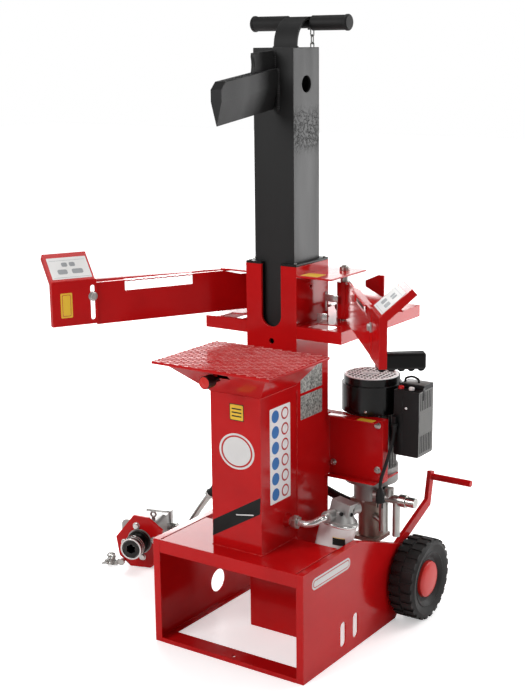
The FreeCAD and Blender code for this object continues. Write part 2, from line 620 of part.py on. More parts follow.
def arm_shape(side):
    """Upright web on a tubular hub, with a toothed bar across the window in its top."""
    web, low, height = size("arm_web"), ARM_LOW, size("arm_height")
    hub_r, hub_h, length = size("arm_hub"), size("arm_hub_height"), size("arm_length")
    bore = size("pin_radius") + size("pin_gap")
    hub = Part.makeCylinder(hub_r, hub_h, Vector(0, 0, low), Z)
    profile = [Vector(0, 0, low), Vector(0, -length, low), Vector(0, -length, low + height),
               Vector(0, -120, low + height), Vector(0, -60, low + hub_h), Vector(0, 0, low + hub_h)]
    plate = prism(profile, Vector(-web / 2, 0, 0), X * web)
    start, window = size("window_start"), size("window_length")
    gap = Part.makeBox(web + 2, window, size("window_depth") + 1,
                       Vector(-web / 2 - 1, -start - window, low + height - size("window_depth")))
    plate = plate.cut(gap)
    teeth = [Vector(side * 12, -start, 0)]
    count = int(window // size("tooth_pitch"))
    for number in range(count):
        root = -start - number * window / count
        teeth.append(Vector(-side * 4, root, 0))
        teeth.append(Vector(-side * (4 + size("tooth_depth")), root - 0.8 * window / count, 0))
    teeth.append(Vector(-side * 4, -start - window, 0))
    teeth.append(Vector(side * 12, -start - window, 0))
    bar = prism(teeth, Vector(0, 0, low + height - 4), Z * 4)
    lug = Part.makeBox(web, 36, 26, Vector(-web / 2, -length - 30, low + 75))
    solid = hub.fuse([plate, bar, lug]).cut(Part.makeCylinder(bore, hub_h + 2, Vector(0, 0, low - 1), Z))
    bolt_y, bolt_z = -length - 13, low + 88
    solid = solid.cut(Part.makeCylinder(6, 40, Vector(-20, bolt_y, bolt_z), X))
    start_x = -side * (web / 2 + size("end_sheet") + 3.6)
    direction = X * side
    shank = Part.makeCylinder(6, web + size("end_sheet") + 14, Vector(start_x, bolt_y, bolt_z), direction)
    washer = Part.makeCylinder(13.5, 3, Vector(start_x, bolt_y, bolt_z), direction)
    head = Part.makeCylinder(8, 7, Vector(start_x - side * 7, bolt_y, bolt_z), direction)
    nut = Part.makeCylinder(10, 8, Vector(side * web / 2, bolt_y, bolt_z), direction)
    bolt = shank.fuse([washer, head, nut]).removeSplitter()
    return Part.makeCompound([solid.removeSplitter(), bolt])


def end_plate_shape(side):
    """Sliding end plate: slotted web, sign plate leaning outwards, and a turned near edge."""
    sheet, web, length = size("end_sheet"), size("arm_web"), size("arm_length")
    low, height, reach = ARM_LOW + 5, size("end_height"), size("end_length")
    inner = -side * (web / 2 + 0.3)
    outer = inner - side * sheet
    left = min(inner, outer)
    plate = Part.makeBox(sheet, reach + 4, height, Vector(left, -length - reach - 4, low))
    slot_w, slot_l = size("end_slot"), size("end_slot_length")
    slot_y, slot_z = -length - 13, low + 13
    slot = Part.makeBox(20, slot_w, slot_l - slot_w, Vector(left - 5, slot_y - slot_w / 2, slot_z + slot_w / 2))
    for z in (slot_z + slot_w / 2, slot_z + slot_l - slot_w / 2):
        slot = slot.fuse(Part.makeCylinder(slot_w / 2, 20, Vector(left - 5, slot_y, z), X))
    plate = plate.cut(slot)
    run, rise, rim = size("sign_run"), size("sign_rise"), size("end_flange")
    near, top = -length - reach - 4, low + height
    slope = Vector(side * run, 0, rise)
    normal = Vector(-side * rise, 0, run).normalize() * sheet
    sign = prism([Vector(), slope, slope + normal, normal], Vector(inner, near, top - 3), Y * reach)
    flange = Part.makeBox(rim, sheet, height, Vector(min(inner, inner + side * rim), near, low))
    lean = Vector(side * rise, 0, -run).normalize() * rim
    sign_flange = prism([Vector(), slope, slope + lean, lean], Vector(inner, near, top - 3), Y * sheet)
    return plate.fuse([sign, flange, sign_flange]).removeSplitter()


def hand_grip_shape(side):
    """Moulded grip that stands out from the end plate, with finger bumps beneath."""
    web, length = size("arm_web"), size("arm_length")
    y = -length - size("grip_reach")
    z = PAN_TOP + size("right_grip_rise" if side > 0 else "left_grip_rise") - size("grip_height") / 2
    start = -side * (web / 2 + 0.3)
    tall, thick, reach = size("grip_height"), size("grip_thickness"), size("grip_length")
    near = min(start, start + side * reach)
    body = Part.makeBox(reach, thick, tall - 6, Vector(near, y - thick / 2, z + 6))
    body = body.makeFillet(7, body.Edges)
    count = 5
    for number in range(count):
        centre = Vector(near + (number + 0.5) * reach / count, y - thick / 2 + 4, z + 12)
        body = body.fuse(Part.makeCylinder(11, thick - 8, centre, Y))
    return body.removeSplitter()


for side in (-1, 1):
    word = "right" if side > 0 else "left"
    named(feature(f"arm_{word}_shape", arm_shape(side), arm_placement(side)), f"arm_{word}")
    named(feature(f"end_plate_{word}_shape", end_plate_shape(side), arm_placement(side)), f"end_plate_{word}")
    named(feature(f"hand_grip_{word}_shape", hand_grip_shape(side), arm_placement(side)), f"hand_grip_{word}")

# Control valve on the pan behind the post, with its spool and levers' clevis.
valve_x, valve_y = 92, 135
valve_block = fuse("valve_fuse", [
    box("valve_core", (valve_x, valve_y, "dim.post_height - dim.carrier_drop"), (46, 90, 62)),
    rod("valve_port_a", "z", (valve_x + 23, valve_y + 25, "dim.post_height - dim.carrier_drop + 62"), 13, 22),
    rod("valve_port_b", "z", (valve_x + 23, valve_y + 65, "dim.post_height - dim.carrier_drop + 62"), 13, 22),
])
valve_bore = rod("valve_bore", "y",
                 (valve_x + 23, valve_y - 1, "dim.post_height - dim.carrier_drop + 30"), 8.05, 92)
named(cut("valve_block_cut", valve_block, [valve_bore]), "valve_block")
named(fuse("valve_spool_fuse", [
    rod("spool_bar", "y", (valve_x + 23, valve_y - 22, "dim.post_height - dim.carrier_drop + 30"), 8, 138),
    rod("spool_eye", "y", (valve_x + 23, valve_y - 30, "dim.post_height - dim.carrier_drop + 30"), 12, 8),
]), "valve_spool")

# ---------------------------------------------------------------- wheels


def wheel_shapes(side):
    """Block-tread tyre on a dished rim whose red cap closes the axle end."""
    radius, width, rim_r = size("wheel_radius"), size("wheel_width"), size("rim_radius")
    inner = size("base_width") / 2 + size("wheel_gap")
    start = Vector(side * inner, size("wheel_y"), radius)
    axis = X * side
    r, w = radius, width
    section = [(rim_r, 10), (rim_r + 16, 3), (r - 18, 0), (r - 7, 6), (r - 4, 16), (r - 4, w - 16),
               (r - 7, w - 6), (r - 18, w), (rim_r + 16, w - 3), (rim_r, w - 10)]
    corners = [Vector(along, rad, 0) for rad, along in section]
    tyre = Part.Face(Part.makePolygon(corners + [corners[0]])).revolve(Vector(), X, 360)
    blocks = 24
    for number in range(blocks):
        angle = 360 / blocks * number
        for row, shift in ((6, 0.0), (w / 2 + 3, 0.5)):
            block = Part.makeBox(w / 2 - 9, 20, 12, Vector(row, -10, r - 12))
            block = block.common(Part.makeCylinder(r, w, Vector(), X))
            block.rotate(Vector(), X, angle + shift * 360 / blocks)
            tyre = tyre.fuse(block)
    disc = [(0, 26), (0, w - 6), (34, w - 8), (56, w - 15), (60, w - 22), (72, w - 20), (rim_r - 6, w - 12),
            (rim_r, w - 10), (rim_r, 10), (rim_r - 6, 10), (rim_r - 8, 26)]
    corners = [Vector(along, rad, 0) for rad, along in disc]
    rim = Part.Face(Part.makePolygon(corners + [corners[0]])).revolve(Vector(), X, 360)
    axle = size("axle_radius") + 0.05
    rim = rim.cut(Part.makeCylinder(axle, w - 12, Vector(), X))
    turn = Rotation() if side > 0 else Rotation(Z, 180)
    spot = Placement(start, turn)
    return tyre.removeSplitter(), rim.removeSplitter(), spot


for side in (-1, 1):
    word = "right" if side > 0 else "left"
    tyre, rim, spot = wheel_shapes(side)
    named(feature(f"tyre_{word}_shape", tyre, spot), f"tyre_{word}")
    named(feature(f"rim_{word}_shape", rim, spot), f"rim_{word}")


def hitch_shape(side):
    """Bent flat bar welded on the panel's sloping flange, with a lower-link pin near its end."""
    thick, inset = size("hitch_plate"), size("base_width") / 2 - size("hitch_inset")
    tail_y, tail_z = size("panel_reach") - size("base_front"), size("panel_tail")
    level_y = size("panel_level") - size("base_front")
    slope = (size("base_height") - tail_z) / (tail_y - level_y)
    toe, heel = tail_y - 10, tail_y - 55
    points = [Vector(0, toe, tail_z + slope * 10), Vector(0, heel, tail_z + slope * 55),
              Vector(0, tail_y + 152, tail_z + 105), Vector(0, tail_y + 168, tail_z + 183),
              Vector(0, tail_y + 172, tail_z + 198), Vector(0, tail_y + 198, tail_z + 192),
              Vector(0, tail_y + 174, tail_z + 80)]
    start = Vector(inset if side > 0 else -inset - thick, 0, 0)
    bar = prism(points, start, X * thick)
    foot = Vector(side * (inset + thick), tail_y + 181, tail_z + 177)
    pin = Part.makeCylinder(size("hitch_pin"), size("hitch_pin_length"), foot, X * side)
    return bar.fuse(pin).removeSplitter()


named(feature("hitch_arms_shape", Part.makeCompound([hitch_shape(-1), hitch_shape(1)])), "hitch_arms")

# ---------------------------------------------------------------- motor and pump


def motor_bracket_shape():
    """Folded plate welded to the post's rear corner that carries the motor's flange."""
    front_y, right = size("bracket_front"), BRACKET_RIGHT
    low, high, sheet = size("bracket_low"), size("bracket_high"), size("bracket_sheet")
    left = 62.0
    depth = 34.0
    face = Part.makeBox(right - left, sheet, high - low, Vector(left, front_y, low))
    top = Part.makeBox(right - left, depth, sheet, Vector(left, front_y, high - sheet))
    bottom = Part.makeBox(right - left, depth, sheet, Vector(left, front_y, low))
    side = Part.makeBox(sheet, depth, high - low, Vector(right - sheet, front_y, low))
    post_back = size("post_side") / 2
    web = Part.makeBox(28, front_y - post_back, high - low, Vector(left, post_back, low))
    whole = face.fuse([top, bottom, side, web])
    centre = Vector(size("motor_x"), MOTOR_Y, low - 1)
    opening = Part.makeCylinder(size("motor_radius") + 9, high - low + 2, centre, Z)
    middle, radius = size("motor_x"), size("motor_radius")
    arm_left = Part.makeBox(24, 84, sheet, Vector(middle - radius - 12, front_y + depth, low))
    arm_right = Part.makeBox(24, 84, sheet, Vector(middle + radius - 12, front_y + depth, low))
    whole = whole.cut(opening)
    holder = arm_left.fuse(arm_right).cut(Part.makeCylinder(size("motor_radius") + 6.2, 20, centre, Z))
    return whole.fuse(holder).removeSplitter()


named(feature("motor_bracket_shape", motor_bracket_shape()), "motor_bracket")


def motor_shape():
    """Finned motor frame with its drive-end flange; the shaft's tunnel runs through."""
    centre = Vector(size("motor_x"), MOTOR_Y, 0)
    radius, low, high = size("motor_radius"), size("motor_low"), size("motor_high")
    core = Part.makeCylinder(radius - 12, high - low, centre + Z * low, Z)
    flange = Part.makeCylinder(radius + 6, low - size("flange_low"), centre + Z * size("flange_low"), Z)
    fins = []
    count = 40
    for number in range(count):
        fin = Part.makeBox(16, 3, high - low, Vector(radius - 16, -1.5, low))
        fin.rotate(Vector(), Z, 360 / count * number)
        fin.translate(centre)
        fins.append(fin)
    whole = core.fuse([flange] + fins)
    tunnel = Part.makeCylinder(size("shaft_radius") + 0.05, high + 1, centre + Z * (size("flange_low") - 1), Z)
    return whole.cut(tunnel).removeSplitter()


named(feature("motor_body_shape", motor_shape()), "motor_body")


def cover_shape():
    """Fan cover: a stepped cap over the motor's end, its top pierced in rings of slots."""
    centre = Vector(size("motor_x"), MOTOR_Y, 0)
    radius, wall = size("motor_radius") + size("cover_margin"), size("cover_wall")
    low, top = size("cover_low"), size("cover_top")
    outer = Part.makeCylinder(radius - 6, top - low, centre + Z * low, Z)
    belt = Part.makeCylinder(radius, 88, centre + Z * (low + 2), Z)
    inner = Part.makeCylinder(radius - 6 - wall, top - low - wall, centre + Z * low, Z)
    whole = outer.fuse(belt).cut(inner)
    for ring in (34, 46, 58, 70):
        for number in range(12):
            hole = Part.makeBox(7, ring * 0.32, 20, Vector(ring, -ring * 0.16, top - 10))
            hole.rotate(Vector(), Z, 30 * number)
            hole.translate(centre)
            whole = whole.cut(hole)
    ring_seat = Part.makeCylinder(radius - 6 - wall, 6, centre + Z * low, Z)
    ring_seat = ring_seat.cut(Part.makeCylinder(size("motor_radius") + 0.3, 8, centre + Z * (low - 1), Z))
    return whole.fuse(ring_seat).removeSplitter()


named(feature("fan_cover_shape", cover_shape()), "fan_cover")


def rotor_shape():
    """Motor shaft with the cooling fan above and the pump's coupling half below."""
    centre = Vector(size("motor_x"), MOTOR_Y, 0)
    high, low = size("motor_high"), size("flange_low")
    radius = size("shaft_radius")
    pump_top = size("bell_low") + 2
    shaft = Part.makeCylinder(radius, high + 62 - pump_top, centre + Z * pump_top, Z)
    coupling = Part.makeCylinder(28, 30, centre + Z * (low - 46), Z)
    hub = Part.makeCylinder(26, 40, centre + Z * (high + 12), Z)
    blades = []
    for number in range(9):
        blade_box = Part.makeBox(46, 4, 34, Vector(20, -2, high + 14))
        blade_box.rotate(Vector(), Z, 40 * number)
        blade_box.translate(centre)
        blades.append(blade_box)
    return shaft.fuse([coupling, hub] + blades).removeSplitter()


named(feature("motor_rotor_shape", rotor_shape()), "motor_rotor")


def bell_shape():
    """Hollow bell between motor and pump, with side windows at the coupling."""
    centre = Vector(size("motor_x"), MOTOR_Y, 0)
    low, high, radius = size("bell_low"), size("flange_low"), size("bell_radius")
    outer = Part.makeCylinder(radius, high - low, centre + Z * low, Z)
    inner = Part.makeCylinder(radius - 8, high - low - 8, centre + Z * (low + 8), Z)
    mouth = Part.makeCylinder(size("shaft_radius") + 0.05, 20, centre + Z * (low - 1), Z)
    window = Part.makeBox(2 * radius + 4, 36, 26, centre + Vector(-radius - 2, -18, low + 20))
    return outer.cut(inner).cut(mouth).cut(window).removeSplitter()


named(feature("bell_housing_shape", bell_shape()), "bell_housing")


def pump_shape():
    """Gear pump under the bell: round body between two square end covers."""
    centre = Vector(size("motor_x"), MOTOR_Y, 0)
    top, low, radius = size("bell_low"), size("pump_low"), size("pump_radius")
    body = Part.makeCylinder(radius, top - low - 24, centre + Z * (low + 12), Z)
    flange = Part.makeBox(96, 96, 12, centre + Vector(-48, -48, top - 12))
    cover = Part.makeBox(92, 92, 12, centre + Vector(-46, -46, low))
    port = Part.makeCylinder(16, 14, centre + Vector(radius - 4, 0, low + 66), X)
    return body.fuse([flange, cover, port]).removeSplitter()


named(feature("pump_body_shape", pump_shape()), "pump_body")


def port_fittings_shape():
    """Pressure branch beside the pump: riser, cross tube with its nut, and a second riser."""
    cx, cy = size("motor_x"), MOTOR_Y - 55
    level = size("pump_low") + 166
    reach = Vector(78, -55, 0)
    start = Vector(cx, MOTOR_Y, size("pump_low") + 84)
    link_pipe = Part.makeCylinder(12, reach.Length, start, reach)
    link_pipe = link_pipe.cut(Part.makeCylinder(size("pump_radius"), 60, start - Z * 30, Z))
    riser = Part.makeCylinder(15, 98, Vector(cx + 78, cy, level - 112), Z)
    sleeve = Part.makeCylinder(22, 36, Vector(cx + 48, cy, level), X)
    crossing = Part.makeCylinder(14, 60, Vector(cx + 80, cy, level), X)
    nut = Part.makeCylinder(20, 24, Vector(cx + 136, cy, level), X)
    cap = Part.makeCylinder(16, 30, Vector(cx + 160, cy, level), X)
    drop = Part.makeCylinder(12, 112, Vector(cx + 123, cy, level - 120), Z)
    bronze = Part.makeCylinder(14, 26, Vector(cx + 98, cy, level + 8), Z)
    whole = link_pipe.fuse([riser, sleeve, crossing, nut, cap, drop, bronze])
    return whole.removeSplitter()


named(feature("port_fittings_shape", port_fittings_shape()), "port_fittings")


LEAD_EXIT = Vector(CONTROL_X + 8, size("control_y") - 10, 676)


def control_box_shape():
    """Switch box on the motor's side: low front, taller rear, vents and a mounting foot."""
    x, y, low, high = CONTROL_X, size("control_y"), size("control_low"), size("control_high")
    width, depth = size("control_width"), size("control_depth")
    step = size("control_step")
    body = Part.makeBox(width, depth, high - low - step, Vector(x, y, low))
    rear = Part.makeBox(width, depth - 34, step, Vector(x, y + 34, high - step))
    whole = body.fuse(rear).removeSplitter()
    lower = [e for e in whole.Edges if e.BoundBox.ZMax < low + 1]
    whole = whole.makeFillet(10, lower)
    for row, (z, tall) in enumerate(((low + 12, 62), (high - 76, 62))):
        for number in range(7):
            vent = Part.makeBox(4, 5, tall, Vector(x + width - 3, y + 10 + number * 11, z))
            whole = whole.cut(vent)
    foot_start = size("motor_x") + size("motor_radius") - 2
    reach = x - foot_start
    foot = Part.makeBox(reach, 40, 60, Vector(foot_start, MOTOR_Y - 20, low + 30))
    grip = Part.makeCylinder(size("motor_radius") + 0.2, 300, Vector(size("motor_x"), MOTOR_Y, low - 50), Z)
    whole = whole.fuse(foot.cut(grip))
    for place_x in (16, 52):
        hole = Part.makeCylinder(9.3, 12, Vector(x + place_x, y + 17, high - step - 10), Z)
        whole = whole.cut(hole)
    gland = Part.makeBox(12, 14, 24, LEAD_EXIT + Vector(-6, -4, 0))
    cable_path = [Vector(x + 10, y + 54, high), Vector(x + 10, y + 54, high + 12),
                  Vector(x + 32, y + 57, high + 21), Vector(x + 54, y + 60, high + 12),
                  Vector(x + 54, y + 60, high)]
    return Part.makeCompound([whole.fuse(gland).removeSplitter(), tube(cable_path, 3.5, "switch cable")])


named(feature("control_box_shape", control_box_shape()), "control_box")


def button_shape(offset):
    x, y, top = CONTROL_X, size("control_y"), size("control_high") - size("control_step")
    return Part.makeCylinder(9, 14, Vector(x + offset, y + 17, top - 6), Z)


named(feature("button_stop_shape", button_shape(16)), "button_stop")
named(feature("button_start_shape", button_shape(52)), "button_start")

# ---------------------------------------------------------------- filter and pipes


def filter_placement():
    """The canister hangs from its head and leans towards the front left."""
    lean = Vector(-0.82, -0.57, 0)
    axis = Z.cross(lean)
    centre = Vector(size("filter_x"), size("filter_y"), size("filter_top"))
    return Placement(centre, Rotation(axis, -size("filter_tilt")))


def canister_shape():
    radius, length = size("filter_radius"), size("filter_length")
    body = Part.makeCylinder(radius, length, Vector(0, 0, -length), Z)
    body = body.makeFillet(9, [e for e in body.Edges if e.BoundBox.ZMax < -length + 1])
    return body


def head_shape():
    """Cast filter head: round seat, bridge block and two angled ports."""
    radius = size("filter_radius")
    seat = Part.makeCylinder(radius - 2, 10, Vector(), Z)
    dome = Part.makeCone(radius - 6, 34, 26, Vector(0, 0, 10), Z)
    block = Part.makeBox(66, 50, 38, Vector(-28, -25, 30))
    port = Part.makeCylinder(18, 40, Vector(-10, -30, 22), Y * -1)
    outlet = Part.makeCylinder(17, 26, Vector(26, 12, 48), Vector(0.4, 0.9, 0.1))
    return seat.fuse([dome, block, port, outlet]).removeSplitter()


named(feature("filter_canister_shape", canister_shape(), filter_placement()), "filter_canister")
named(feature("filter_head_shape", head_shape(), filter_placement()), "filter_head")

tank_side = size("tank_width") / 2
port_tip = filter_placement().multVec(Vector(-10, -70, 22))
port_way = filter_placement().Rotation.multVec(Y * -1)


def suction_pipe_shape():
    """Rubber sleeve and union nut on the front box, then a bent pipe to the filter head."""
    start = Vector(tank_side, -147, 411)
    sleeve = Part.makeCylinder(14, 26, start, X)
    nut = Part.makeCylinder(18, 14, start + X * 26, X)
    path = [start + X * 40, start + X * 82, port_tip + port_way * 22, port_tip]
    pipe = tube(path, 10.5, "suction pipe")
    return Part.makeCompound([sleeve.fuse(nut).removeSplitter(), pipe])


named(feature("suction_pipe_shape", suction_pipe_shape()), "suction_pipe")

# ---------------------------------------------------------------- power take-off unit

unit_spot = Placement(Vector(size("unit_x"), size("unit_y"), 0), Rotation(Z, size("unit_turn")))


def unit_plate_shape():
    """Irregular mounting plate with four bolts round the shaft's opening."""
    axis_z, thick = size("unit_axis"), size("unit_plate")
    corners = [(-20, 196), (36, 191), (88, 150), (88, 62), (46, 8), (38, 3), (-38, 3), (-79, 40), (-90, 109)]
    plate = prism([Vector(u, 0, z) for u, z in corners], Vector(), Y * thick)
    plate = plate.cut(Part.makeCylinder(46, thick + 2, Vector(0, -1, axis_z), Y))
    bolts = []
    for number in range(4):
        angle = math.radians(100 + 90 * number)
        spot = Vector(58 * math.cos(angle), -7, axis_z + 58 * math.sin(angle))
        head = Part.makeCylinder(10, 7, spot, Y)
        bolts.append(head)
    return Part.makeCompound([plate] + bolts)


def gearbox_shape():
    """Aluminium multiplier housing behind the plate, with a boss for the input shaft."""
    axis_z, thick = size("unit_axis"), size("unit_plate")
    width, depth = size("gearbox_width"), size("gearbox_depth")
    body = Part.makeBox(width, depth, 160, Vector(-width / 2, thick, 14))
    body = body.makeFillet(18, [e for e in body.Edges if abs(e.BoundBox.YLength - depth) < 0.1])
    boss = Part.makeCylinder(46, thick, Vector(0, 0, axis_z), Y)
    bore = Part.makeCylinder(15.05, 60, Vector(0, -1, axis_z), Y)
    eye_stem = Part.makeCylinder(6, 12, Vector(40, thick + 30, 174), Z)
    eye = Part.makeTorus(9, 3.5, Vector(40, thick + 30, 192), Y)
    return body.fuse([boss, eye_stem, eye]).cut(bore).removeSplitter()


def unit_pump_shape():
    """Gear pump bolted to the multiplier's rear: three stacked sections and a port."""
    thick, depth = size("unit_plate"), size("gearbox_depth")
    start = thick + depth
    body = Part.makeBox(96, 26, 116, Vector(-40, start, 44))
    middle = Part.makeBox(88, 44, 108, Vector(-36, start + 26, 48))
    rear = Part.makeBox(96, 22, 116, Vector(-40, start + 70, 44))
    port = Part.makeCylinder(18, 14, Vector(52, start + 48, 102), X)
    return body.fuse([middle, rear, port]).removeSplitter()


def sleeve_shape():
    """Splined input sleeve with its shaft in the multiplier and a groove for the collar."""
    axis_z, length = size("unit_axis"), size("sleeve_length")
    radius = size("sleeve_radius")
    base = Part.makeCylinder(42, 12, Vector(0, -13, axis_z), Y)
    neck = Part.makeCylinder(radius, length - 13, Vector(0, -length, axis_z), Y)
    shaft = Part.makeCylinder(15, 40, Vector(0, -2, axis_z), Y)
    bore = Part.makeCylinder(size("spline_radius") - 2, length - 20, Vector(0, -length - 1, axis_z), Y)
    for number in range(6):
        spline = Part.makeBox(8, length - 20, 6, Vector(-4, -length - 1, size("spline_radius") - 6))
        spline.rotate(Vector(), Y, 60 * number)
        spline.translate(Z * axis_z)
        bore = bore.fuse(spline)
    return base.fuse([neck, shaft]).cut(bore).removeSplitter()


def collar_shape():
    """Pull-back locking collar that slides on the sleeve."""
    axis_z, length = size("unit_axis"), size("sleeve_length")
    outer = Part.makeCylinder(size("collar_radius"), 34, Vector(0, -length + 2, axis_z), Y)
    rib = Part.makeCylinder(size("collar_radius") + 3, 8, Vector(0, -length + 24, axis_z), Y)
    return outer.fuse(rib).cut(Part.makeCylinder(size("sleeve_radius") + 0.05, 40,
                                                 Vector(0, -length + 1, axis_z), Y)).removeSplitter()


def torque_chain_shape():
    """Short chain that lies on the floor beside the plate, hung from a shackle bolt."""
    bolt = Part.makeCylinder(3.3, 20, Vector(-62, -20, 24), Y)
    head = Part.makeCylinder(12, 8, Vector(-62, -28, 24), Y)
    pieces = [bolt.fuse(head).removeSplitter()]
    pitch, width, wire = 21.0, 17.0, 5.0
    along = Vector(-1, 0, -0.22).normalize()
    across = along.cross(Y)
    for number in range(4):
        centre = Vector(-62, -10, 24) + along * (7.2 + number * pitch)
        wide = Y if number % 2 else across
        pieces.append(link(centre, along, wide, pitch + 2 * wire + 0.1, width, wire))
    return Part.makeCompound(pieces)


unit_pieces = (
    ("pto_plate", unit_plate_shape()), ("pto_gearbox", gearbox_shape()), ("pto_pump", unit_pump_shape()),
    ("pto_sleeve", sleeve_shape()), ("pto_collar", collar_shape()), ("torque_chain", torque_chain_shape()),
)
for label, shape in unit_pieces:
    named(feature(f"{label}_shape", shape, unit_spot), label)

unit_port = unit_spot.multVec(Vector(66, size("unit_plate") + size("gearbox_depth") + 48, 102))
unit_way = unit_spot.Rotation.multVec(X)


def unit_pipe_shape():
    """Steel suction tube from the unit's pump, with its union and a hose clamp."""
    nut = Part.makeCylinder(24, 22, unit_port, unit_way)
    start = unit_port + unit_way * 22
    path = [start, start + unit_way * 34, Vector(-545, 252, 206), Vector(-500, 250, 262)]
    pipe = tube(path, 11, "unit pipe")
    end = path[-1]
    way = (path[-1] - path[-2]).normalize()
    clamp = Part.makeCylinder(19, 12, end - way * 2, way).cut(Part.makeCylinder(14.5, 14, end - way * 3, way))
    screw = Part.makeCylinder(4, 30, end + way * 4 + Vector(-14, 0, 16), Vector(-0.3, 0, -1))
    return Part.makeCompound([nut, pipe, clamp]), end, way


pipe_shape, pipe_end, pipe_way = unit_pipe_shape()
named(feature("unit_pipe_shape", pipe_shape), "pto_pipe")


def unit_hose_shape():
    """Hose from the unit's pipe behind the post to the pump's inlet side."""
    start = pipe_end
    path = [start, start + pipe_way * 70, Vector(-385, 245, 392), Vector(-300, 232, 436),
            Vector(-205, 215, 448), Vector(-110, 200, 436), Vector(-20, 190, 410),
            Vector(60, 196, 380), Vector(100, 205, 366), Vector(139, 205, 362)]
    return tube(path, 14, "unit hose")


named(feature("unit_hose_shape", unit_hose_shape()), "pto_hose")

# ---------------------------------------------------------------- cables


def power_lead_shape():
    """Supply lead that hangs from the switch box, from its gland to its plug."""
    path = [LEAD_EXIT, LEAD_EXIT + Vector(0, 0, -36), LEAD_EXIT + Vector(-3, -22, -86),
            LEAD_EXIT + Vector(-9, -42, -136), LEAD_EXIT + Vector(-19, -50, -172),
            LEAD_EXIT + Vector(-19, -50, -200)]
    return tube(path, 5.5, "power lead"), path[-1]


lead, lead_end = power_lead_shape()
named(feature("power_lead_shape", lead), "power_lead")


def plug_shape():
    """Round two-pin plug at the lead's end."""
    neck = Part.makeCone(14, 8, 16, lead_end - Z * 16, Z)
    body = Part.makeCylinder(14, 28, lead_end - Z * 44, Z)
    pins = [Part.makeCylinder(2.4, 18, lead_end + Vector(dx, 0, -62), Z) for dx in (-8, 8)]
    return body.fuse([neck] + pins).removeSplitter()


named(feature("power_plug_shape", plug_shape()), "power_plug")


# ---------------------------------------------------------------- frame fasteners


def fastener_shapes():
    """Screws of the liner's rim and bolts of the motor bracket, all plain zinc heads."""
    pieces = []
    rim_top = size("post_height") + size("liner_rim")
    offset = size("post_side") / 2 - 9
    for dx, dy in ((-1, -1), (1, -1), (1, 1), (-1, 1)):
        pieces.append(Part.makeCylinder(4.5, 3, Vector(dx * offset, dy * offset, rim_top), Z))
    front_y = size("bracket_front")
    low, high, right = size("bracket_low"), size("bracket_high"), BRACKET_RIGHT
    for x, z in ((right - 19, high - 15), (right - 18, low + 41), (right - 177, low + 41)):
        pieces.append(Part.makeCylinder(8, 7, Vector(x, front_y - 7, z), Y))
    return Part.makeCompound(pieces)


named(feature("frame_fasteners_shape", fastener_shapes()), "frame_fasteners")

# ---------------------------------------------------------------- checks and export

doc.recompute()
for obj in doc.Objects:
    if "Invalid" in obj.State or "Error" in obj.State:
        raise RuntimeError(f"{obj.Label} failed: {obj.State}")
for part in PARTS:
    if part.Shape.isNull() or not part.Shape.isValid():
        raise RuntimeError(f"{part.Label} has no valid shape")

os.makedirs("parts", exist_ok=True)
for part in PARTS:
    part.Shape.exportStep(f"parts/{part.Label}.step")
print(f"{len(PARTS)} sub-parts written")
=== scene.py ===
import math

import bpy
from mathutils import Matrix, Vector


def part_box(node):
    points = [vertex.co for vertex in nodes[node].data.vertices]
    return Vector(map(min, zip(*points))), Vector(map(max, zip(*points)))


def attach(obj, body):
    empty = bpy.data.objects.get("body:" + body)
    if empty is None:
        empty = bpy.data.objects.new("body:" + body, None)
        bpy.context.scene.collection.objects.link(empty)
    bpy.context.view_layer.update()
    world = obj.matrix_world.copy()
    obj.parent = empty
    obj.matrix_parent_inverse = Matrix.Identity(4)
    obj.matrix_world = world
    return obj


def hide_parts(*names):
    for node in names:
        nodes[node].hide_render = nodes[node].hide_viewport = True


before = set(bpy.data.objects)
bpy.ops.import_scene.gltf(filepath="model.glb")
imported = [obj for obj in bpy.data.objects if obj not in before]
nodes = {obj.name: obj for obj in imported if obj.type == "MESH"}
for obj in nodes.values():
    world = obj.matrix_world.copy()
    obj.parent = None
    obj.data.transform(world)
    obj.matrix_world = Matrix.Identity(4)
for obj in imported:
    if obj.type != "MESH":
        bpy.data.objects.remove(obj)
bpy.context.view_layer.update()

# ------------------------------
# Studio. A pale floor without an edge, soft even lamps, and a camera at standing
# height in front of the machine's right-hand corner.

camera_data = bpy.data.cameras.new("camera")
camera_data.lens = 67.34
camera_data.sensor_width = 36
camera_data.clip_end = 60
camera = bpy.data.objects.new("camera", camera_data)
bpy.context.scene.collection.objects.link(camera)
heading, dip, roll = math.radians(34.541), math.radians(13.177), math.radians(-0.5936)
forward = Vector((-math.sin(heading) * math.cos(dip), math.cos(heading) * math.cos(dip), -math.sin(dip)))
sideways = Vector((math.cos(heading), math.sin(heading), 0))
upright = sideways.cross(forward)
right = sideways * math.cos(roll) + upright * math.sin(roll)
above = upright * math.cos(roll) - sideways * math.sin(roll)
camera_turn = Matrix((right, above, -forward)).transposed().to_4x4()
camera.matrix_world = Matrix.Translation((2.1608, -3.2773, 1.82)) @ camera_turn
bpy.context.scene.camera = camera
bpy.context.scene.view_settings.view_transform = "Standard"


def wired(tree, kind, inputs, **settings):
    """Adds a shader node; each input is set to a value or joined to another node's output."""
    made = tree.nodes.new("ShaderNode" + kind)
    for name, value in settings.items():
        setattr(made, name, value)
    for socket, value in inputs.items():
        if isinstance(value, bpy.types.NodeSocket):
            tree.links.new(value, made.inputs[socket])
        else:
            made.inputs[socket].default_value = value
    return made


def worked(tree, operation, *values):
    """One sum in a shader; each value is a number or another node's output."""
    return wired(tree, "Math", dict(enumerate(values)), operation=operation).outputs[0]


def spread(tree, value, start, end, low=0.0, high=1.0, **settings):
    """Maps a value that runs from start to end onto low to high."""
    return wired(tree, "MapRange", {"Value": value, "From Min": start, "From Max": end, "To Min": low,
                                    "To Max": high}, **settings).outputs[0]


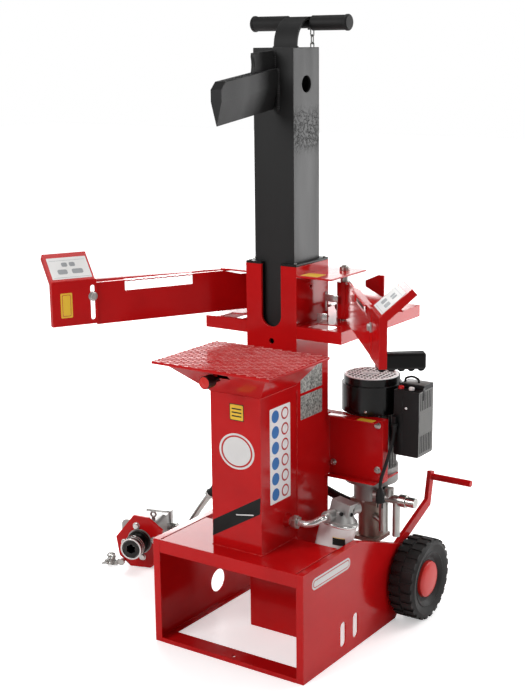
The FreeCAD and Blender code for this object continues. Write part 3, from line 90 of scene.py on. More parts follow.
def object_place(tree):
    """The shaded point's place in its own object."""
    return wired(tree, "TexCoord", {}).outputs["Object"]


world = bpy.data.worlds.new("studio")
bpy.context.scene.world = world
world.use_nodes = True
sky = world.node_tree
sky.nodes["Background"].inputs["Color"].default_value = (1, 1, 1, 1)
daylight, mirrored_dark, mirrored_pale = 0.26, 0.05, 1.0
rays = wired(sky, "LightPath", {})
sky_way = wired(sky, "TexCoord", {}).outputs["Generated"]
sky_height = wired(sky, "SeparateXYZ", {0: sky_way}).outputs["Z"]
# The pale backdrop stands behind the machine and ends about twelve degrees up, so that
# flat tops mirror it and fronts don't.
sky_low = spread(sky, sky_height, 0.19, 0.235, mirrored_pale - mirrored_dark, 0.0)
sky_toward = wired(sky, "VectorMath", {0: sky_way, 1: (-0.566, 0.824, 0)}, operation="DOT_PRODUCT")
sky_behind = spread(sky, sky_toward.outputs["Value"], 0.1, 0.5)
seen = worked(sky, "MAXIMUM", rays.outputs["Is Camera Ray"], rays.outputs["Is Transmission Ray"])
direct = worked(sky, "MULTIPLY_ADD", seen, 1.0 - daylight, daylight)
mirrored = worked(sky, "MULTIPLY_ADD", sky_low, sky_behind, mirrored_dark - daylight)
strength = worked(sky, "MULTIPLY_ADD", rays.outputs["Is Glossy Ray"], mirrored, direct)
sky.links.new(strength, sky.nodes["Background"].inputs["Strength"])


def soft_lamp(name, place, target, width, height, watts):
    """A soft box that lights and is mirrored, and that the camera doesn't see."""
    lamp_data = bpy.data.lights.new(name, "AREA")
    lamp_data.shape = "RECTANGLE"
    lamp_data.size, lamp_data.size_y = width, height
    lamp_data.energy = watts
    lamp = bpy.data.objects.new(name, lamp_data)
    bpy.context.scene.collection.objects.link(lamp)
    lamp.location = place
    lamp.rotation_euler = (Vector(target) - Vector(place)).to_track_quat("-Z", "Y").to_euler()
    lamp.visible_camera = False


soft_lamp("front_lamp", (-1.1, -4.0, 2.9), (0, 0, 0.8), 2.0, 2.0, 105)
soft_lamp("side_lamp", (4.4, -0.4, 2.6), (0, 0, 0.9), 1.4, 2.0, 34)
soft_lamp("top_lamp", (0.2, 0.3, 4.8), (0, 0, 0), 2.4, 2.4, 66)
soft_lamp("left_panel", (-3.2, 2.38, 1.5), (-0.2, -0.42, 0.7), 2.0, 2.0, 56)
soft_lamp("backdrop_lamp", (-3.57, 4.82, 1.32), (0, 0, 1.32), 2.6, 1.96, 42)
soft_lamp("rear_panel", (1.25, 1.75, 1.28), (0.05, 0, 1.28), 1.1, 1.65, 27)

bpy.ops.object.select_all(action="DESELECT")
bpy.ops.mesh.primitive_plane_add(size=40, location=(0, 0, 0))
floor = bpy.context.object
floor.name = "floor"
floor_paint = bpy.data.materials.new("floor_paint")
floor_paint.use_nodes = True
floor_tree = floor_paint.node_tree
floor_surface = floor_tree.nodes["Principled BSDF"]
floor_surface.inputs["Base Color"].default_value = (0.95, 0.95, 0.95, 1)
floor_surface.inputs["Roughness"].default_value = 0.35
floor_surface.inputs["Specular IOR Level"].default_value = 0.15
# Away from the machine the floor glows up to the backdrop's white. Near it, it keeps the shadow.
floor_rays = wired(floor_tree, "LightPath", {})
floor_far = wired(floor_tree, "VectorMath", {0: object_place(floor_tree)}, operation="LENGTH")
floor_level = spread(floor_tree, floor_far.outputs["Value"], 0.6, 3.2, 0.42, 1.0)
floor_share = worked(floor_tree, "MULTIPLY", floor_rays.outputs["Is Camera Ray"], floor_level)
floor_glow = wired(floor_tree, "Emission", {"Color": (1, 1, 1, 1), "Strength": floor_share})
floor_sum = wired(floor_tree, "AddShader", {0: floor_surface.outputs[0], 1: floor_glow.outputs[0]})
floor_tree.links.new(floor_sum.outputs[0], floor_tree.nodes["Material Output"].inputs["Surface"])
floor.data.materials.append(floor_paint)

# ------------------------------
# Welded steel frame: base box, post, front box, arm carrier and brackets. Folded
# and welded sheet with small rounded edges, powder-coated in glossy red.


def shader_group(name, inputs, outputs):
    """A shader group with number inputs, and its own input and output nodes."""
    group = bpy.data.node_groups.new(name, "ShaderNodeTree")
    for label, value in inputs:
        made = group.interface.new_socket(label, in_out="INPUT", socket_type="NodeSocketFloat")
        made.default_value = value
    for label, kind in outputs:
        group.interface.new_socket(label, in_out="OUTPUT", socket_type=kind)
    return group, group.nodes.new("NodeGroupInput"), group.nodes.new("NodeGroupOutput")


# Cloudy patches, drawn out along Z where Stretch is below one.
cloud_group, cloud_in, cloud_out = shader_group(
    "uneven_coat", [("Scale", 4.0), ("Stretch", 1.0)], [("Mask", "NodeSocketFloat")])
cloud_stretch = wired(cloud_group, "CombineXYZ", {0: 1, 1: 1, 2: cloud_in.outputs["Stretch"]})
cloud_scaled = wired(cloud_group, "VectorMath", {0: object_place(cloud_group), 1: cloud_stretch.outputs[0]},
                     operation="MULTIPLY")
cloud_noise = wired(cloud_group, "TexNoise", {"Vector": cloud_scaled.outputs[0], "Detail": 6,
                                              "Roughness": 0.6, "Scale": cloud_in.outputs["Scale"]})
cloud_group.links.new(spread(cloud_group, cloud_noise.outputs["Fac"], 0.32, 0.68), cloud_out.inputs["Mask"])

# Edges lighter in broken lengths: partly where the coat is rubbed thin, partly a painted highlight along the
# edges.
edge_group, edge_in, edge_out = shader_group(
    "rubbed_and_highlight_edges", [("Radius", 0.002), ("Breaks", 60.0)], [("Mask", "NodeSocketFloat")])
edge_bevel = wired(edge_group, "Bevel", {"Radius": edge_in.outputs["Radius"]}, samples=4)
edge_flat = wired(edge_group, "NewGeometry", {})
edge_dot = wired(edge_group, "VectorMath", {0: edge_bevel.outputs[0], 1: edge_flat.outputs["Normal"]},
                 operation="DOT_PRODUCT")
edge_noise = wired(edge_group, "TexNoise", {"Vector": object_place(edge_group), "Detail": 4,
                                            "Scale": edge_in.outputs["Breaks"]})
edge_both = worked(edge_group, "MULTIPLY", spread(edge_group, edge_dot.outputs["Value"], 0.995, 0.86),
                   spread(edge_group, edge_noise.outputs["Fac"], 0.42, 0.6))
edge_group.links.new(edge_both, edge_out.inputs["Mask"])

# Fine orange peel, casting skin or brushing, as a bump.
grain_group, grain_in, grain_out = shader_group(
    "grain", [("Scale", 300.0), ("Depth", 0.1)], [("Normal", "NodeSocketVector")])
grain_noise = wired(grain_group, "TexNoise", {"Vector": object_place(grain_group), "Detail": 3,
                                              "Scale": grain_in.outputs["Scale"]})
grain_bump = wired(grain_group, "Bump", {"Height": grain_noise.outputs["Fac"], "Distance": 0.001,
                                         "Strength": grain_in.outputs["Depth"]})
grain_group.links.new(grain_bump.outputs[0], grain_out.inputs["Normal"])


def blend_colours(material, mask, first, second):
    """A colour that goes from first to second by a mask; each is a colour or a node's output."""
    mix = material.node_tree.nodes.new("ShaderNodeMix")
    mix.data_type = "RGBA"
    for socket, value in ((mix.inputs["A"], first), (mix.inputs["B"], second)):
        if isinstance(value, tuple):
            socket.default_value = (*value, 1)
        else:
            material.node_tree.links.new(value, socket)
    material.node_tree.links.new(mask, mix.inputs["Factor"])
    return mix.outputs["Result"]


def coated(name, colour, shade, edge, smooth, rough, grain=(700, 0.03), cloud=(5, 1), metal=0.0,
           specular=0.5, radius=0.002):
    """A painted, moulded or cast surface: cloudy colour, edges partly rubbed and partly a painted highlight,
    uneven gloss, fine grain.
    """
    material = bpy.data.materials.new(name)
    material.use_nodes = True
    tree = material.node_tree
    surface = tree.nodes["Principled BSDF"]
    clouds = wired(tree, "Group", {"Scale": cloud[0], "Stretch": cloud[1]}, node_tree=cloud_group)
    edges = wired(tree, "Group", {"Radius": radius}, node_tree=edge_group)
    bumps = wired(tree, "Group", {"Scale": grain[0], "Depth": grain[1]}, node_tree=grain_group)
    tint = blend_colours(material, clouds.outputs["Mask"], shade, colour)
    # The edge colour is partly rubbed wear and partly a painted highlight.
    tree.links.new(blend_colours(material, edges.outputs["Mask"], tint, edge), surface.inputs["Base Color"])
    tree.links.new(spread(tree, clouds.outputs["Mask"], 0.0, 1.0, rough, smooth), surface.inputs["Roughness"])
    tree.links.new(bumps.outputs["Normal"], surface.inputs["Normal"])
    surface.inputs["Metallic"].default_value = metal
    surface.inputs["Specular IOR Level"].default_value = specular
    return material


red_paint = coated("red_paint", (0.54, 0.0065, 0.0075), (0.45, 0.005, 0.006), (0.7, 0.05, 0.04), 0.09, 0.17,
                   grain=(420, 0.03), specular=0.2)


def dress(names, material, width, segments=2, sharper_than=32):
    """Gives CAD nodes their finish, and rounds their edges by modifiers that stay live."""
    for name in names:
        node = nodes[name]
        node.data.materials.clear()
        node.data.materials.append(material)
        weld = node.modifiers.new("weld", "WELD")
        weld.merge_threshold = 0.00001
        flat = node.modifiers.new("flat", "DECIMATE")
        flat.decimate_type = "DISSOLVE"
        flat.angle_limit = math.radians(0.6)
        rounding = node.modifiers.new("rounding", "BEVEL")
        rounding.width = width
        rounding.segments = segments
        rounding.limit_method = "ANGLE"
        rounding.angle_limit = math.radians(sharper_than)
        shading = node.modifiers.new("shading", "WEIGHTED_NORMAL")
        shading.weight = 80
        shading.keep_sharp = True
        for face in node.data.polygons:
            face.use_smooth = True


dress(["base_panel_left", "base_panel_right", "base_top_plate", "base_front_bar", "axle_beam", "foot_plate",
       "guide_post", "front_box", "arm_pan", "arm_shelves", "motor_bracket", "hitch_arms"], red_paint, 0.0012)

# ------------------------------
# Weld beads that join the front box to the base and the post, and the pan to the
# post: rippled steel under the same red paint.


def pick(piece):
    """Selects one piece and nothing else."""
    bpy.ops.object.select_all(action="DESELECT")
    piece.select_set(True)
    bpy.context.view_layer.objects.active = piece


def settle():
    """Writes the selected piece's place, turn and scale into its mesh."""
    bpy.ops.object.transform_apply(location=True, rotation=True, scale=True)


def finish(piece, material, body="frame", slot="", angle=35):
    """Gives a piece its material, smoothing and body; its slot, the material's name unless given, is not
    used.
    """
    piece.data.materials.clear()
    piece.data.materials.append(material)
    pick(piece)
    bpy.ops.object.shade_smooth_by_angle(angle=math.radians(angle))
    slot = slot or material.name.split(".")[0]
    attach(piece, body)
    return piece


def repeated(piece, step, count):
    """Repeats a piece count times in its own mesh, each a step after the last."""
    many = piece.modifiers.new("many", "ARRAY")
    many.use_relative_offset = False
    many.use_constant_offset = True
    many.constant_offset_displace = step
    many.count = count
    bpy.ops.object.modifier_apply(modifier="many")


def weld_bead(name, start, end, radius, material, body="frame"):
    """A rippled bead: one flattened lens repeated from start to end, each over the last."""
    run = Vector(end) - Vector(start)
    overlap = 0.85
    count = max(2, int(run.length / (radius * overlap)))
    bpy.ops.object.select_all(action="DESELECT")
    bpy.ops.mesh.primitive_uv_sphere_add(segments=10, ring_count=6, radius=radius)
    bead = bpy.context.object
    bead.name = name
    bead.scale = (1, 1, 0.75)
    bead.rotation_euler = (run.to_track_quat("Z", "Y")).to_euler()
    bead.location = start
    settle()
    repeated(bead, run / count, count + 1)
    return finish(bead, material, body, angle=60)


box_low, box_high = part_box("front_box")
post_low, post_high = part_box("guide_post")
front, side_x, post_x = box_low.y, box_high.x, post_high.x
plate_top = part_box("base_top_plate")[1].z
pan_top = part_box("arm_pan")[0].z + 0.037
for name, start, end, radius in (
        ("bead_box_right", (side_x, front, plate_top), (side_x, post_low.y, plate_top), 0.0032),
        ("bead_box_front", (box_low.x, front, plate_top), (side_x, front, plate_top), 0.0032),
        ("bead_pan_right", (post_x, post_low.y + 0.004, pan_top), (post_x, post_high.y, pan_top), 0.003),
        ("bead_box_post", (side_x, post_low.y, plate_top + 0.01), (side_x, post_low.y, box_high.z - 0.02),
         0.0025)):
    weld_bead(name, start, end, radius, red_paint)

# ------------------------------
# Column with its welded blade, gusset and top handle: square tube in rough, semi-matt
# black paint, scuffed where it slides and where it was handled.

black_paint, column_paint = (
    coated(name, (0.012, 0.0118, 0.0122), (0.01, 0.01, 0.01), (0.09, 0.09, 0.09), smooth, rough,
           grain=(240, 0.16), cloud=(7, 0.12), specular=0.36)
    for name, smooth, rough in (("black_paint", 0.48, 0.6), ("column_paint", 0.34, 0.5)))
# A band of rough overspray on the column's right face, below the blade.
scuff_middle, scuff_reach, scuff_full, right_face = 1.572, 0.085, 0.02, 0.0695
column_tree = column_paint.node_tree
column_surface = column_tree.nodes["Principled BSDF"]
scuff_place = object_place(column_tree)
scuff_split = wired(column_tree, "SeparateXYZ", {0: scuff_place})
scuff_level = worked(column_tree, "SUBTRACT", scuff_split.outputs["Z"], scuff_middle)
scuff_away = worked(column_tree, "ABSOLUTE", scuff_level)
scuff_band = spread(column_tree, scuff_away, scuff_reach, scuff_full, interpolation_type="SMOOTHSTEP")
scuff_noise = wired(column_tree, "TexNoise", {"Vector": scuff_place, "Scale": 75, "Detail": 7})
scuff_break = spread(column_tree, scuff_noise.outputs["Fac"], 0.47, 0.58)
scuff_face = worked(column_tree, "GREATER_THAN", scuff_split.outputs["X"], right_face)
scuff_here = worked(column_tree, "MULTIPLY", scuff_face, scuff_band)
scuff_mask = worked(column_tree, "MULTIPLY", scuff_break, scuff_here)
scuff_bump = wired(column_tree, "Bump", {"Strength": 0.9, "Distance": 0.0015, "Height": scuff_mask,
                                         "Normal": column_surface.inputs["Normal"].links[0].from_socket})
column_tree.links.new(scuff_bump.outputs[0], column_surface.inputs["Normal"])
under_scuff = column_surface.inputs["Base Color"].links[0].from_socket
column_tree.links.new(blend_colours(column_paint, scuff_mask, under_scuff, (0.008, 0.008, 0.008)),
                      column_surface.inputs["Base Color"])
dress(["column"], column_paint, 0.004, 3)
dress(["wedge"], black_paint, 0.0015, 2, 9)
dress(["wedge_gusset", "top_handle"], black_paint, 0.0015)

sides = ((-1, "left"), (1, "right"))
blade_low, blade_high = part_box("wedge")
gusset_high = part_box("wedge_gusset")[1]
column_low, column_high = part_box("column")
front_y, handle_foot = column_low.y, column_high.z + 0.001
for side, word in sides:
    for name, x, near, low, far, high, radius in (
            ("blade", blade_high.x, front_y, blade_low.z + 0.036, front_y, blade_high.z - 0.006, 0.0062),
            ("gusset", gusset_high.x, front_y, blade_high.z + 0.002, front_y, gusset_high.z - 0.004, 0.0058),
            ("handle", 0.04, -0.0065, handle_foot, 0.0, handle_foot, 0.003)):
        weld_bead(f"bead_{name}_{word}", (side * x, near, low), (side * x, far, high), radius, black_paint,
                  "column")

# ------------------------------
# Moulded black grips: soft rubber sleeves on the top handle and hard grips with finger
# bumps on the end plates, plus the guide liner and the switch box in nylon.

black_plastic = coated("black_plastic", (0.006, 0.0055, 0.0055), (0.004, 0.004, 0.004), (0.02, 0.02, 0.02),
                       0.3, 0.45, grain=(900, 0.12), specular=0.3)
black_rubber = coated("black_rubber", (0.01, 0.009, 0.009), (0.006, 0.006, 0.006), (0.03, 0.03, 0.03), 0.5,
                      0.66, grain=(700, 0.25), specular=0.35)
dress(["control_box", "guide_liner"], black_plastic, 0.0015)
dress(["hand_grip_left", "hand_grip_right"], black_plastic, 0.001)
dress(["handle_grips", "pto_hose", "power_plug"], black_rubber, 0.001)


def turned(name, base, axis, profile, facets=48):
    """A turned piece: rings of (radius, height) along an axis through base, ends closed on the axis."""
    smallest = 0.00005
    bpy.ops.object.select_all(action="DESELECT")
    last, level = max(profile[0][0], smallest), profile[0][1]
    bpy.ops.mesh.primitive_circle_add(vertices=facets, radius=last, location=(0, 0, level))
    piece = bpy.context.object
    piece.name = name
    settle()
    bpy.ops.object.mode_set(mode="EDIT")
    bpy.ops.mesh.select_all(action="SELECT")
    for radius, height in profile[1:]:
        radius = max(radius, smallest)
        bpy.ops.mesh.extrude_region_move(TRANSFORM_OT_translate={"value": (0, 0, height - level)})
        grow = radius / last
        bpy.ops.transform.resize(value=(grow, grow, 1), center_override=(0, 0, height))
        last, level = radius, height
    bpy.ops.mesh.select_all(action="SELECT")
    bpy.ops.mesh.remove_doubles(threshold=0.00015)
    bpy.ops.mesh.normals_make_consistent(inside=False)
    bpy.ops.object.mode_set(mode="OBJECT")
    piece.rotation_euler = Vector(axis).to_track_quat("Z", "Y").to_euler()
    piece.location = base
    settle()
    return piece


# Each grip is a smooth sleeve with a lip at its far end, and a thick collar at the near one.
grip_low, grip_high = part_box("handle_grips")
grip_middle, grip_radius = (grip_low + grip_high) / 2, (grip_high.z - grip_low.z) / 2
sleeve, lip = grip_radius + 0.0008, grip_radius + 0.0028
for side, word in sides:
    ribs = turned(f"grip_ribs_{word}", (side * 0.0445, grip_middle.y, grip_middle.z), (side, 0, 0),
                  [(grip_radius, 0.0), (sleeve, 0.001), (sleeve, 0.113), (lip, 0.115), (lip, 0.1205),
                   (grip_radius + 0.0018, 0.122), (grip_radius, 0.122)])
    finish(ribs, black_rubber, "column")
    collar = turned(f"grip_collar_{word}", (side * 0.0432, grip_middle.y, grip_middle.z), (side, 0, 0),
                    [(0.0155, 0), (0.0205, 0), (0.022, 0.0012), (0.022, 0.0042), (0.0205, 0.0056),
                     (grip_radius, 0.006)])
    finish(collar, black_rubber, "column")

# ------------------------------
# Supply lead: a short black rubber cable from the gland under the switch box down to
# its round plug, which hangs beside the pump.

lead_route = [(0.298, 0.140, 0.676), (0.298, 0.140, 0.640), (0.295, 0.118, 0.590), (0.289, 0.098, 0.540),
              (0.279, 0.090, 0.504), (0.279, 0.090, 0.476)]
lead_curve = bpy.data.curves.new("supply_lead", "CURVE")
lead_curve.dimensions = "3D"
lead_curve.bevel_depth = 0.0055
lead_curve.bevel_resolution = 6
lead_curve.resolution_u = 24
lead_line = lead_curve.splines.new("NURBS")
lead_line.points.add(len(lead_route) - 1)
for point, place in zip(lead_line.points, lead_route):
    point.co = (*place, 1)
lead_line.order_u = 3
lead_line.use_endpoint_u = True
lead = bpy.data.objects.new("supply_lead", lead_curve)
bpy.context.scene.collection.objects.link(lead)
lead_curve.materials.append(black_rubber)
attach(lead, "frame")
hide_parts("power_lead")
relief = turned("lead_relief", (0.298, 0.140, 0.6765), (0, 0, -1),
                [(0.0057, 0), (0.0105, 0.0), (0.0105, 0.006), (0.0088, 0.008), (0.0088, 0.012),
                 (0.0082, 0.013), (0.0082, 0.017), (0.0074, 0.018), (0.0074, 0.022), (0.0066, 0.026),
                 (0.0057, 0.028)])
finish(relief, black_rubber)

# ------------------------------
# Table: a small steel plate with raised diamond ribs, so that the log doesn't slip, on
# a folded, flared bracket. Both are in the frame's red.

dress(["table_plate"], red_paint, 0.001)
dress(["table_bracket"], red_paint, 0.0008, 2, 9)
table_low, table_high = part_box("table_plate")


def block(name, low, high):
    """A rectangular start for a piece, from its lowest to its highest corner."""
    bpy.ops.object.select_all(action="DESELECT")
    centre = [(a + b) / 2 for a, b in zip(low, high)]
    bpy.ops.mesh.primitive_cube_add(size=1, location=centre)
    piece = bpy.context.object
    piece.name = name
    piece.scale = [b - a for a, b in zip(low, high)]
    settle()
    return piece


def softened(piece, width, segments=2):
    """Rounds a piece's edges for good."""
    bpy.context.view_layer.objects.active = piece
    rounding = piece.modifiers.new("rounding", "BEVEL")
    rounding.width = width
    rounding.segments = segments
    rounding.limit_method = "ANGLE"
    bpy.ops.object.modifier_apply(modifier="rounding")
    return piece


def keep_inside(piece, planes):
    """Cuts a piece along planes given as a point and an outward normal, and closes the cuts."""
    pick(piece)
    bpy.ops.object.mode_set(mode="EDIT")
    for point, normal in planes:
        bpy.ops.mesh.select_all(action="SELECT")
        bpy.ops.mesh.bisect(plane_co=point, plane_no=normal, use_fill=True, clear_outer=True)
    bpy.ops.object.mode_set(mode="OBJECT")


def joined(name, pieces):
    """Joins pieces into the first one's mesh."""
    pick(pieces[0])
    for piece in pieces[1:]:
        piece.select_set(True)
    bpy.ops.object.join()
    pieces[0].name = name
    return pieces[0]


def rib_lattice(name, low, high, long_way, short_way, width, height):
    """Two crossed sets of thin ribs that stand on a rectangle and end at its edges."""
    reach = math.hypot(high.x - low.x, high.y - low.y)
    lean = math.atan2(short_way, long_way)
    middle = (low + high) / 2
    count = int(1.2 * ((high.x - low.x) / long_way + (high.y - low.y) / short_way)) + 1
    sets = []
    for direction in (-1, 1):
        rib = block(f"{name}_set", (-reach, -width / 2, -0.0003), (reach, width / 2, height))
        softened(rib, height * 0.4, 1)
        rib.rotation_euler = (0, 0, direction * lean)
        rib.location = (middle.x - count * long_way / 2, middle.y, high.z)
        settle()
        repeated(rib, (long_way, 0, 0), count + 1)
        sets.append(rib)
    lattice = joined(name, sets)
    keep_inside(lattice, [((low.x, 0, 0), (-1, 0, 0)), ((high.x, 0, 0), (1, 0, 0)),
                          ((0, low.y, 0), (0, -1, 0)), ((0, high.y, 0), (0, 1, 0))])
    return lattice


# The ribs' pale pink colour and paler edges are a painted highlight on the rib tops; the plate itself is in
# the frame's red.
ribs_painted_highlight = coated("ribs_painted_highlight", (0.8, 0.2, 0.19), (0.56, 0.05, 0.05), (0.88, 0.5, 0.48), 0.07, 0.14,
                   grain=(420, 0.02), cloud=(14, 1), specular=0.6, radius=0.0012)
bare_edge, rib_size = 0.003, 0.0016
ribs = rib_lattice("table_ribs", Vector((table_low.x + bare_edge, table_low.y + bare_edge, table_high.z)),
                   Vector((table_high.x - bare_edge, table_high.y - bare_edge, table_high.z)), 0.034, 0.0205,
                   rib_size, rib_size)
finish(ribs, ribs_painted_highlight, "table", "red_paint")

# ------------------------------
# Lock knob of the table: a black sprung pin with a flat red disc on its face.

dress(["lock_knob"], black_plastic, 0.001)
knob_low, knob_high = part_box("lock_knob")
knob_middle = (knob_low + knob_high) / 2
knob_red = coated("knob_red", (0.62, 0.018, 0.012), (0.55, 0.014, 0.01), (0.7, 0.06, 0.04), 0.25, 0.36,
                  grain=(900, 0.05))
disc = turned("knob_disc", (knob_middle.x, knob_low.y, knob_middle.z), (0, -1, 0),
              [(0.0175, -0.002), (0.0175, 0.0), (0.0168, 0.0008), (0.0155, 0.001), (0.0001, 0.001)])
finish(disc, knob_red, "knob", "red_paint")

# ------------------------------
# Stickers and sign plates: thin printed vinyl and painted tin, with plain fields and
# frames only. They lie on the box, the post, the bracket, the base and the arms.


def label(name, corner, along, up, width, height, corner_radius=0.003, thick=0.0003):
    """A thin rounded plate that lies on a face, from its lower corner."""
    bpy.ops.object.select_all(action="DESELECT")
    bpy.ops.mesh.primitive_plane_add(size=1)
    piece = bpy.context.object
    piece.name = name
    piece.scale = (width, height, 1)
    settle()
    bpy.ops.object.mode_set(mode="EDIT")
    bpy.ops.mesh.select_all(action="SELECT")
    bpy.ops.mesh.bevel(offset=corner_radius, segments=4, affect="VERTICES")
    bpy.ops.mesh.select_all(action="SELECT")
    bpy.ops.mesh.extrude_region_move(TRANSFORM_OT_translate={"value": (0, 0, thick)})
    bpy.ops.mesh.select_all(action="SELECT")
    bpy.ops.mesh.normals_make_consistent(inside=False)
    bpy.ops.object.mode_set(mode="OBJECT")
    along, up = Vector(along).normalized(), Vector(up).normalized()
    lie = Matrix((along, up, along.cross(up))).transposed().to_4x4()
    middle = Vector(corner) + along * width / 2 + up * height / 2
    piece.matrix_world = Matrix.Translation(middle) @ lie
    settle()
    return piece


def ring_rings(inner, outer, low, high):
    """The rings of a plain band between two radii and two heights."""
    return [(inner, low), (outer, low), (outer, high), (inner, high), (inner, low)]


def disc_rings(radius, thick):
    """The rings of a flat disc."""
    return [(0.0001, 0.0), (radius, 0.0), (radius, thick), (0.0001, thick)]


def head_rings(radius, shoulder, crown, height, foot=0.0):
    """The rings of a flat head with a chamfered crown."""
    return [(0.0001, foot), (radius, foot), (radius, shoulder), (crown, height), (0.0001, height)]


def printed(name, colour, shade, edge, smooth=0.3, rough=0.45, specular=0.4):
    """Ink on vinyl."""
    return coated(name, colour, shade, edge, smooth, rough, grain=(1200, 0.05), specular=specular)


white_print = printed("white_print", (0.74, 0.73, 0.72), (0.66, 0.65, 0.64), (0.8, 0.8, 0.8))
yellow_print = printed("yellow_print", (0.86, 0.56, 0.04), (0.8, 0.5, 0.035), (0.9, 0.6, 0.2))
black_print = printed("black_print", (0.012, 0.011, 0.011), (0.02, 0.02, 0.02), (0.05, 0.05, 0.05), 0.4, 0.55,
                      0.15)
blue_print = printed("blue_print", (0.03, 0.19, 0.52), (0.025, 0.16, 0.46), (0.2, 0.3, 0.6))
grey_print = printed("grey_print", (0.3, 0.31, 0.32), (0.24, 0.25, 0.26), (0.5, 0.5, 0.5))
red_print = printed("red_print", (0.5, 0.012, 0.012), (0.44, 0.01, 0.01), (0.6, 0.1, 0.1))
strip_white = printed("strip_white", (0.93, 0.93, 0.93), (0.87, 0.87, 0.87), (0.95, 0.95, 0.95), 0.25, 0.4)

panel_x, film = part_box("base_panel_right")[1].x, 0.0003
bracket_low, bracket_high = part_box("motor_bracket")
shelf_low, shelf_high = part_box("arm_shelves")
on_front, on_side, on_top = ((1, 0, 0), (0, 0, 1)), ((0, 1, 0), (0, 0, 1)), ((1, 0, 0), (0, 1, 0))
stickers = [
    ("box_sticker_rim", (-0.020, front, 0.744), on_front, 0.051, 0.051, 0.003, black_print, "black_paint"),
    ("box_sticker", (-0.0175, front - film, 0.7465), on_front, 0.046, 0.046, 0.003, yellow_print,
     "red_paint")]
for number in range(3):
    corner = (-0.012, front - 2 * film, 0.756 + number * 0.011)
    stickers.append((f"box_sticker_line_{number}", corner, on_front, 0.035, 0.004, 0.001, black_print,
                     "black_paint"))
stickers += [
    ("banner_line", (-0.07, front - 0.0008, 0.408), ((1, 0, 0.60), (0, 0, 1)), 0.165, 0.0035, 0.001,
     white_print, "white_enamel"),
    ("side_strip", (side_x, -0.236, 0.483), on_side, 0.109, 0.295, 0.004, strip_white, "white_enamel"),
    ("base_strip", (panel_x, -0.298, 0.276), on_side, 0.215, 0.036, 0.017, white_print, "white_enamel"),
    ("base_strip_inner", (panel_x + film, -0.292, 0.282), on_side, 0.203, 0.024, 0.011, red_print,
     "red_paint"),
    ("base_strip_field", (panel_x + 2 * film, -0.289, 0.285), on_side, 0.197, 0.018, 0.008, white_print,
     "white_enamel"),
    ("bracket_sticker", (0.203, bracket_low.y - 0.018, bracket_high.z + 0.0001), on_top, 0.056, 0.026, 0.002,
     yellow_print, "red_paint"),
    ("shelf_sticker", (post_x + 0.006, shelf_low.y + 0.012, shelf_high.z), on_top, 0.06, 0.05, 0.003,
     yellow_print, "red_paint")]
for name, corner, ways, width, height, rounded, tint, kind in stickers:
    finish(label(name, corner, *ways, width, height, rounded), tint, "frame", kind)

# A plain oval badge with a red ring, and a slanted black banner.
badge_x, badge_wide = 0.004, 1.15
for name, depth, rings, tint, kind in (
        ("box_badge", front, disc_rings(0.055, 0.0004), white_print, "white_enamel"),
        ("box_badge_ring", front - 0.0004, ring_rings(0.044, 0.049, 0.0, film), red_print, "red_paint")):
    badge = turned(name, (badge_x, depth, 0.650), (0, -1, 0), rings, 64)
    badge.scale = (badge_wide, 1, 1)
    badge.location = (badge_x - badge_x * badge_wide, 0, 0)
    settle()
    finish(badge, tint, "frame", kind)
banner = block("box_banner", (-0.085, front - 0.0004, 0.0), (0.085, front, 0.052))
for corner in banner.data.vertices:
    corner.co.z += 0.4185 + corner.co.x * 0.60
    corner.co.x += (corner.co.z - 0.47) * 0.05
finish(banner, black_print, slot="black_paint")

# The side strip's two columns of plain spots: blue discs, and red rings.
for row in range(6):
    for rank, tint in enumerate((blue_print, red_print)):
        centre = Vector((side_x + film, -0.207 + rank * 0.051, 0.510 + row * 0.0482))
        spot = turned(f"side_spot_{row}_{rank}", centre, (1, 0, 0), disc_rings(0.0190, film), 32)
        finish(spot, tint, slot="white_enamel")
        if rank:
            centre.x += film
            inner = turned(f"side_ring_{row}", centre, (1, 0, 0), disc_rings(0.0138, film), 32)
            finish(inner, strip_white, slot="white_enamel")

# Two stamped tin plates, grey and speckled, riveted on the post's side.
plate_tin = coated("plate_tin", (0.62, 0.64, 0.6), (0.006, 0.008, 0.007), (0.4, 0.4, 0.4), 0.35, 0.5,
                   grain=(300, 0.5), cloud=(150, 1), specular=0.4)
tin = 0.0006
for number, (level, height) in enumerate(((0.706, 0.075), (0.790, 0.095))):
    plate = label(f"post_plate_{number}", (post_x, -0.069, level), *on_side, 0.122, height, 0.003, tin)
    finish(plate, plate_tin, slot="zinc")
    for word, y in (("near", -0.063), ("far", 0.047)):
        rivet = turned(f"post_rivet_{number}_{word}", (post_x + tin, y, level + height / 2), (1, 0, 0),
                       [(0.003, 0), (0.0026, 0.0008), (0.0015, 0.0013), (0.0001, 0.0014)], 16)
        finish(rivet, plate_tin, slot="zinc")

# The motor bracket's folded top and bottom lips.
lip_thick = 0.0035
for word, level in (("top", bracket_high.z - lip_thick), ("bottom", bracket_low.z)):
    lip = block(f"bracket_lip_{word}", (post_x + 0.004, bracket_low.y - 0.022, level),
                (bracket_high.x - 0.012, bracket_low.y + 0.012, level + lip_thick))
    finish(softened(lip, 0.0012), red_paint)

# ------------------------------
# Swinging arms with their sliding end plates: red sheet with folded top flanges, the
# sign plates on top of the ends, and zinc bolts in the slots.

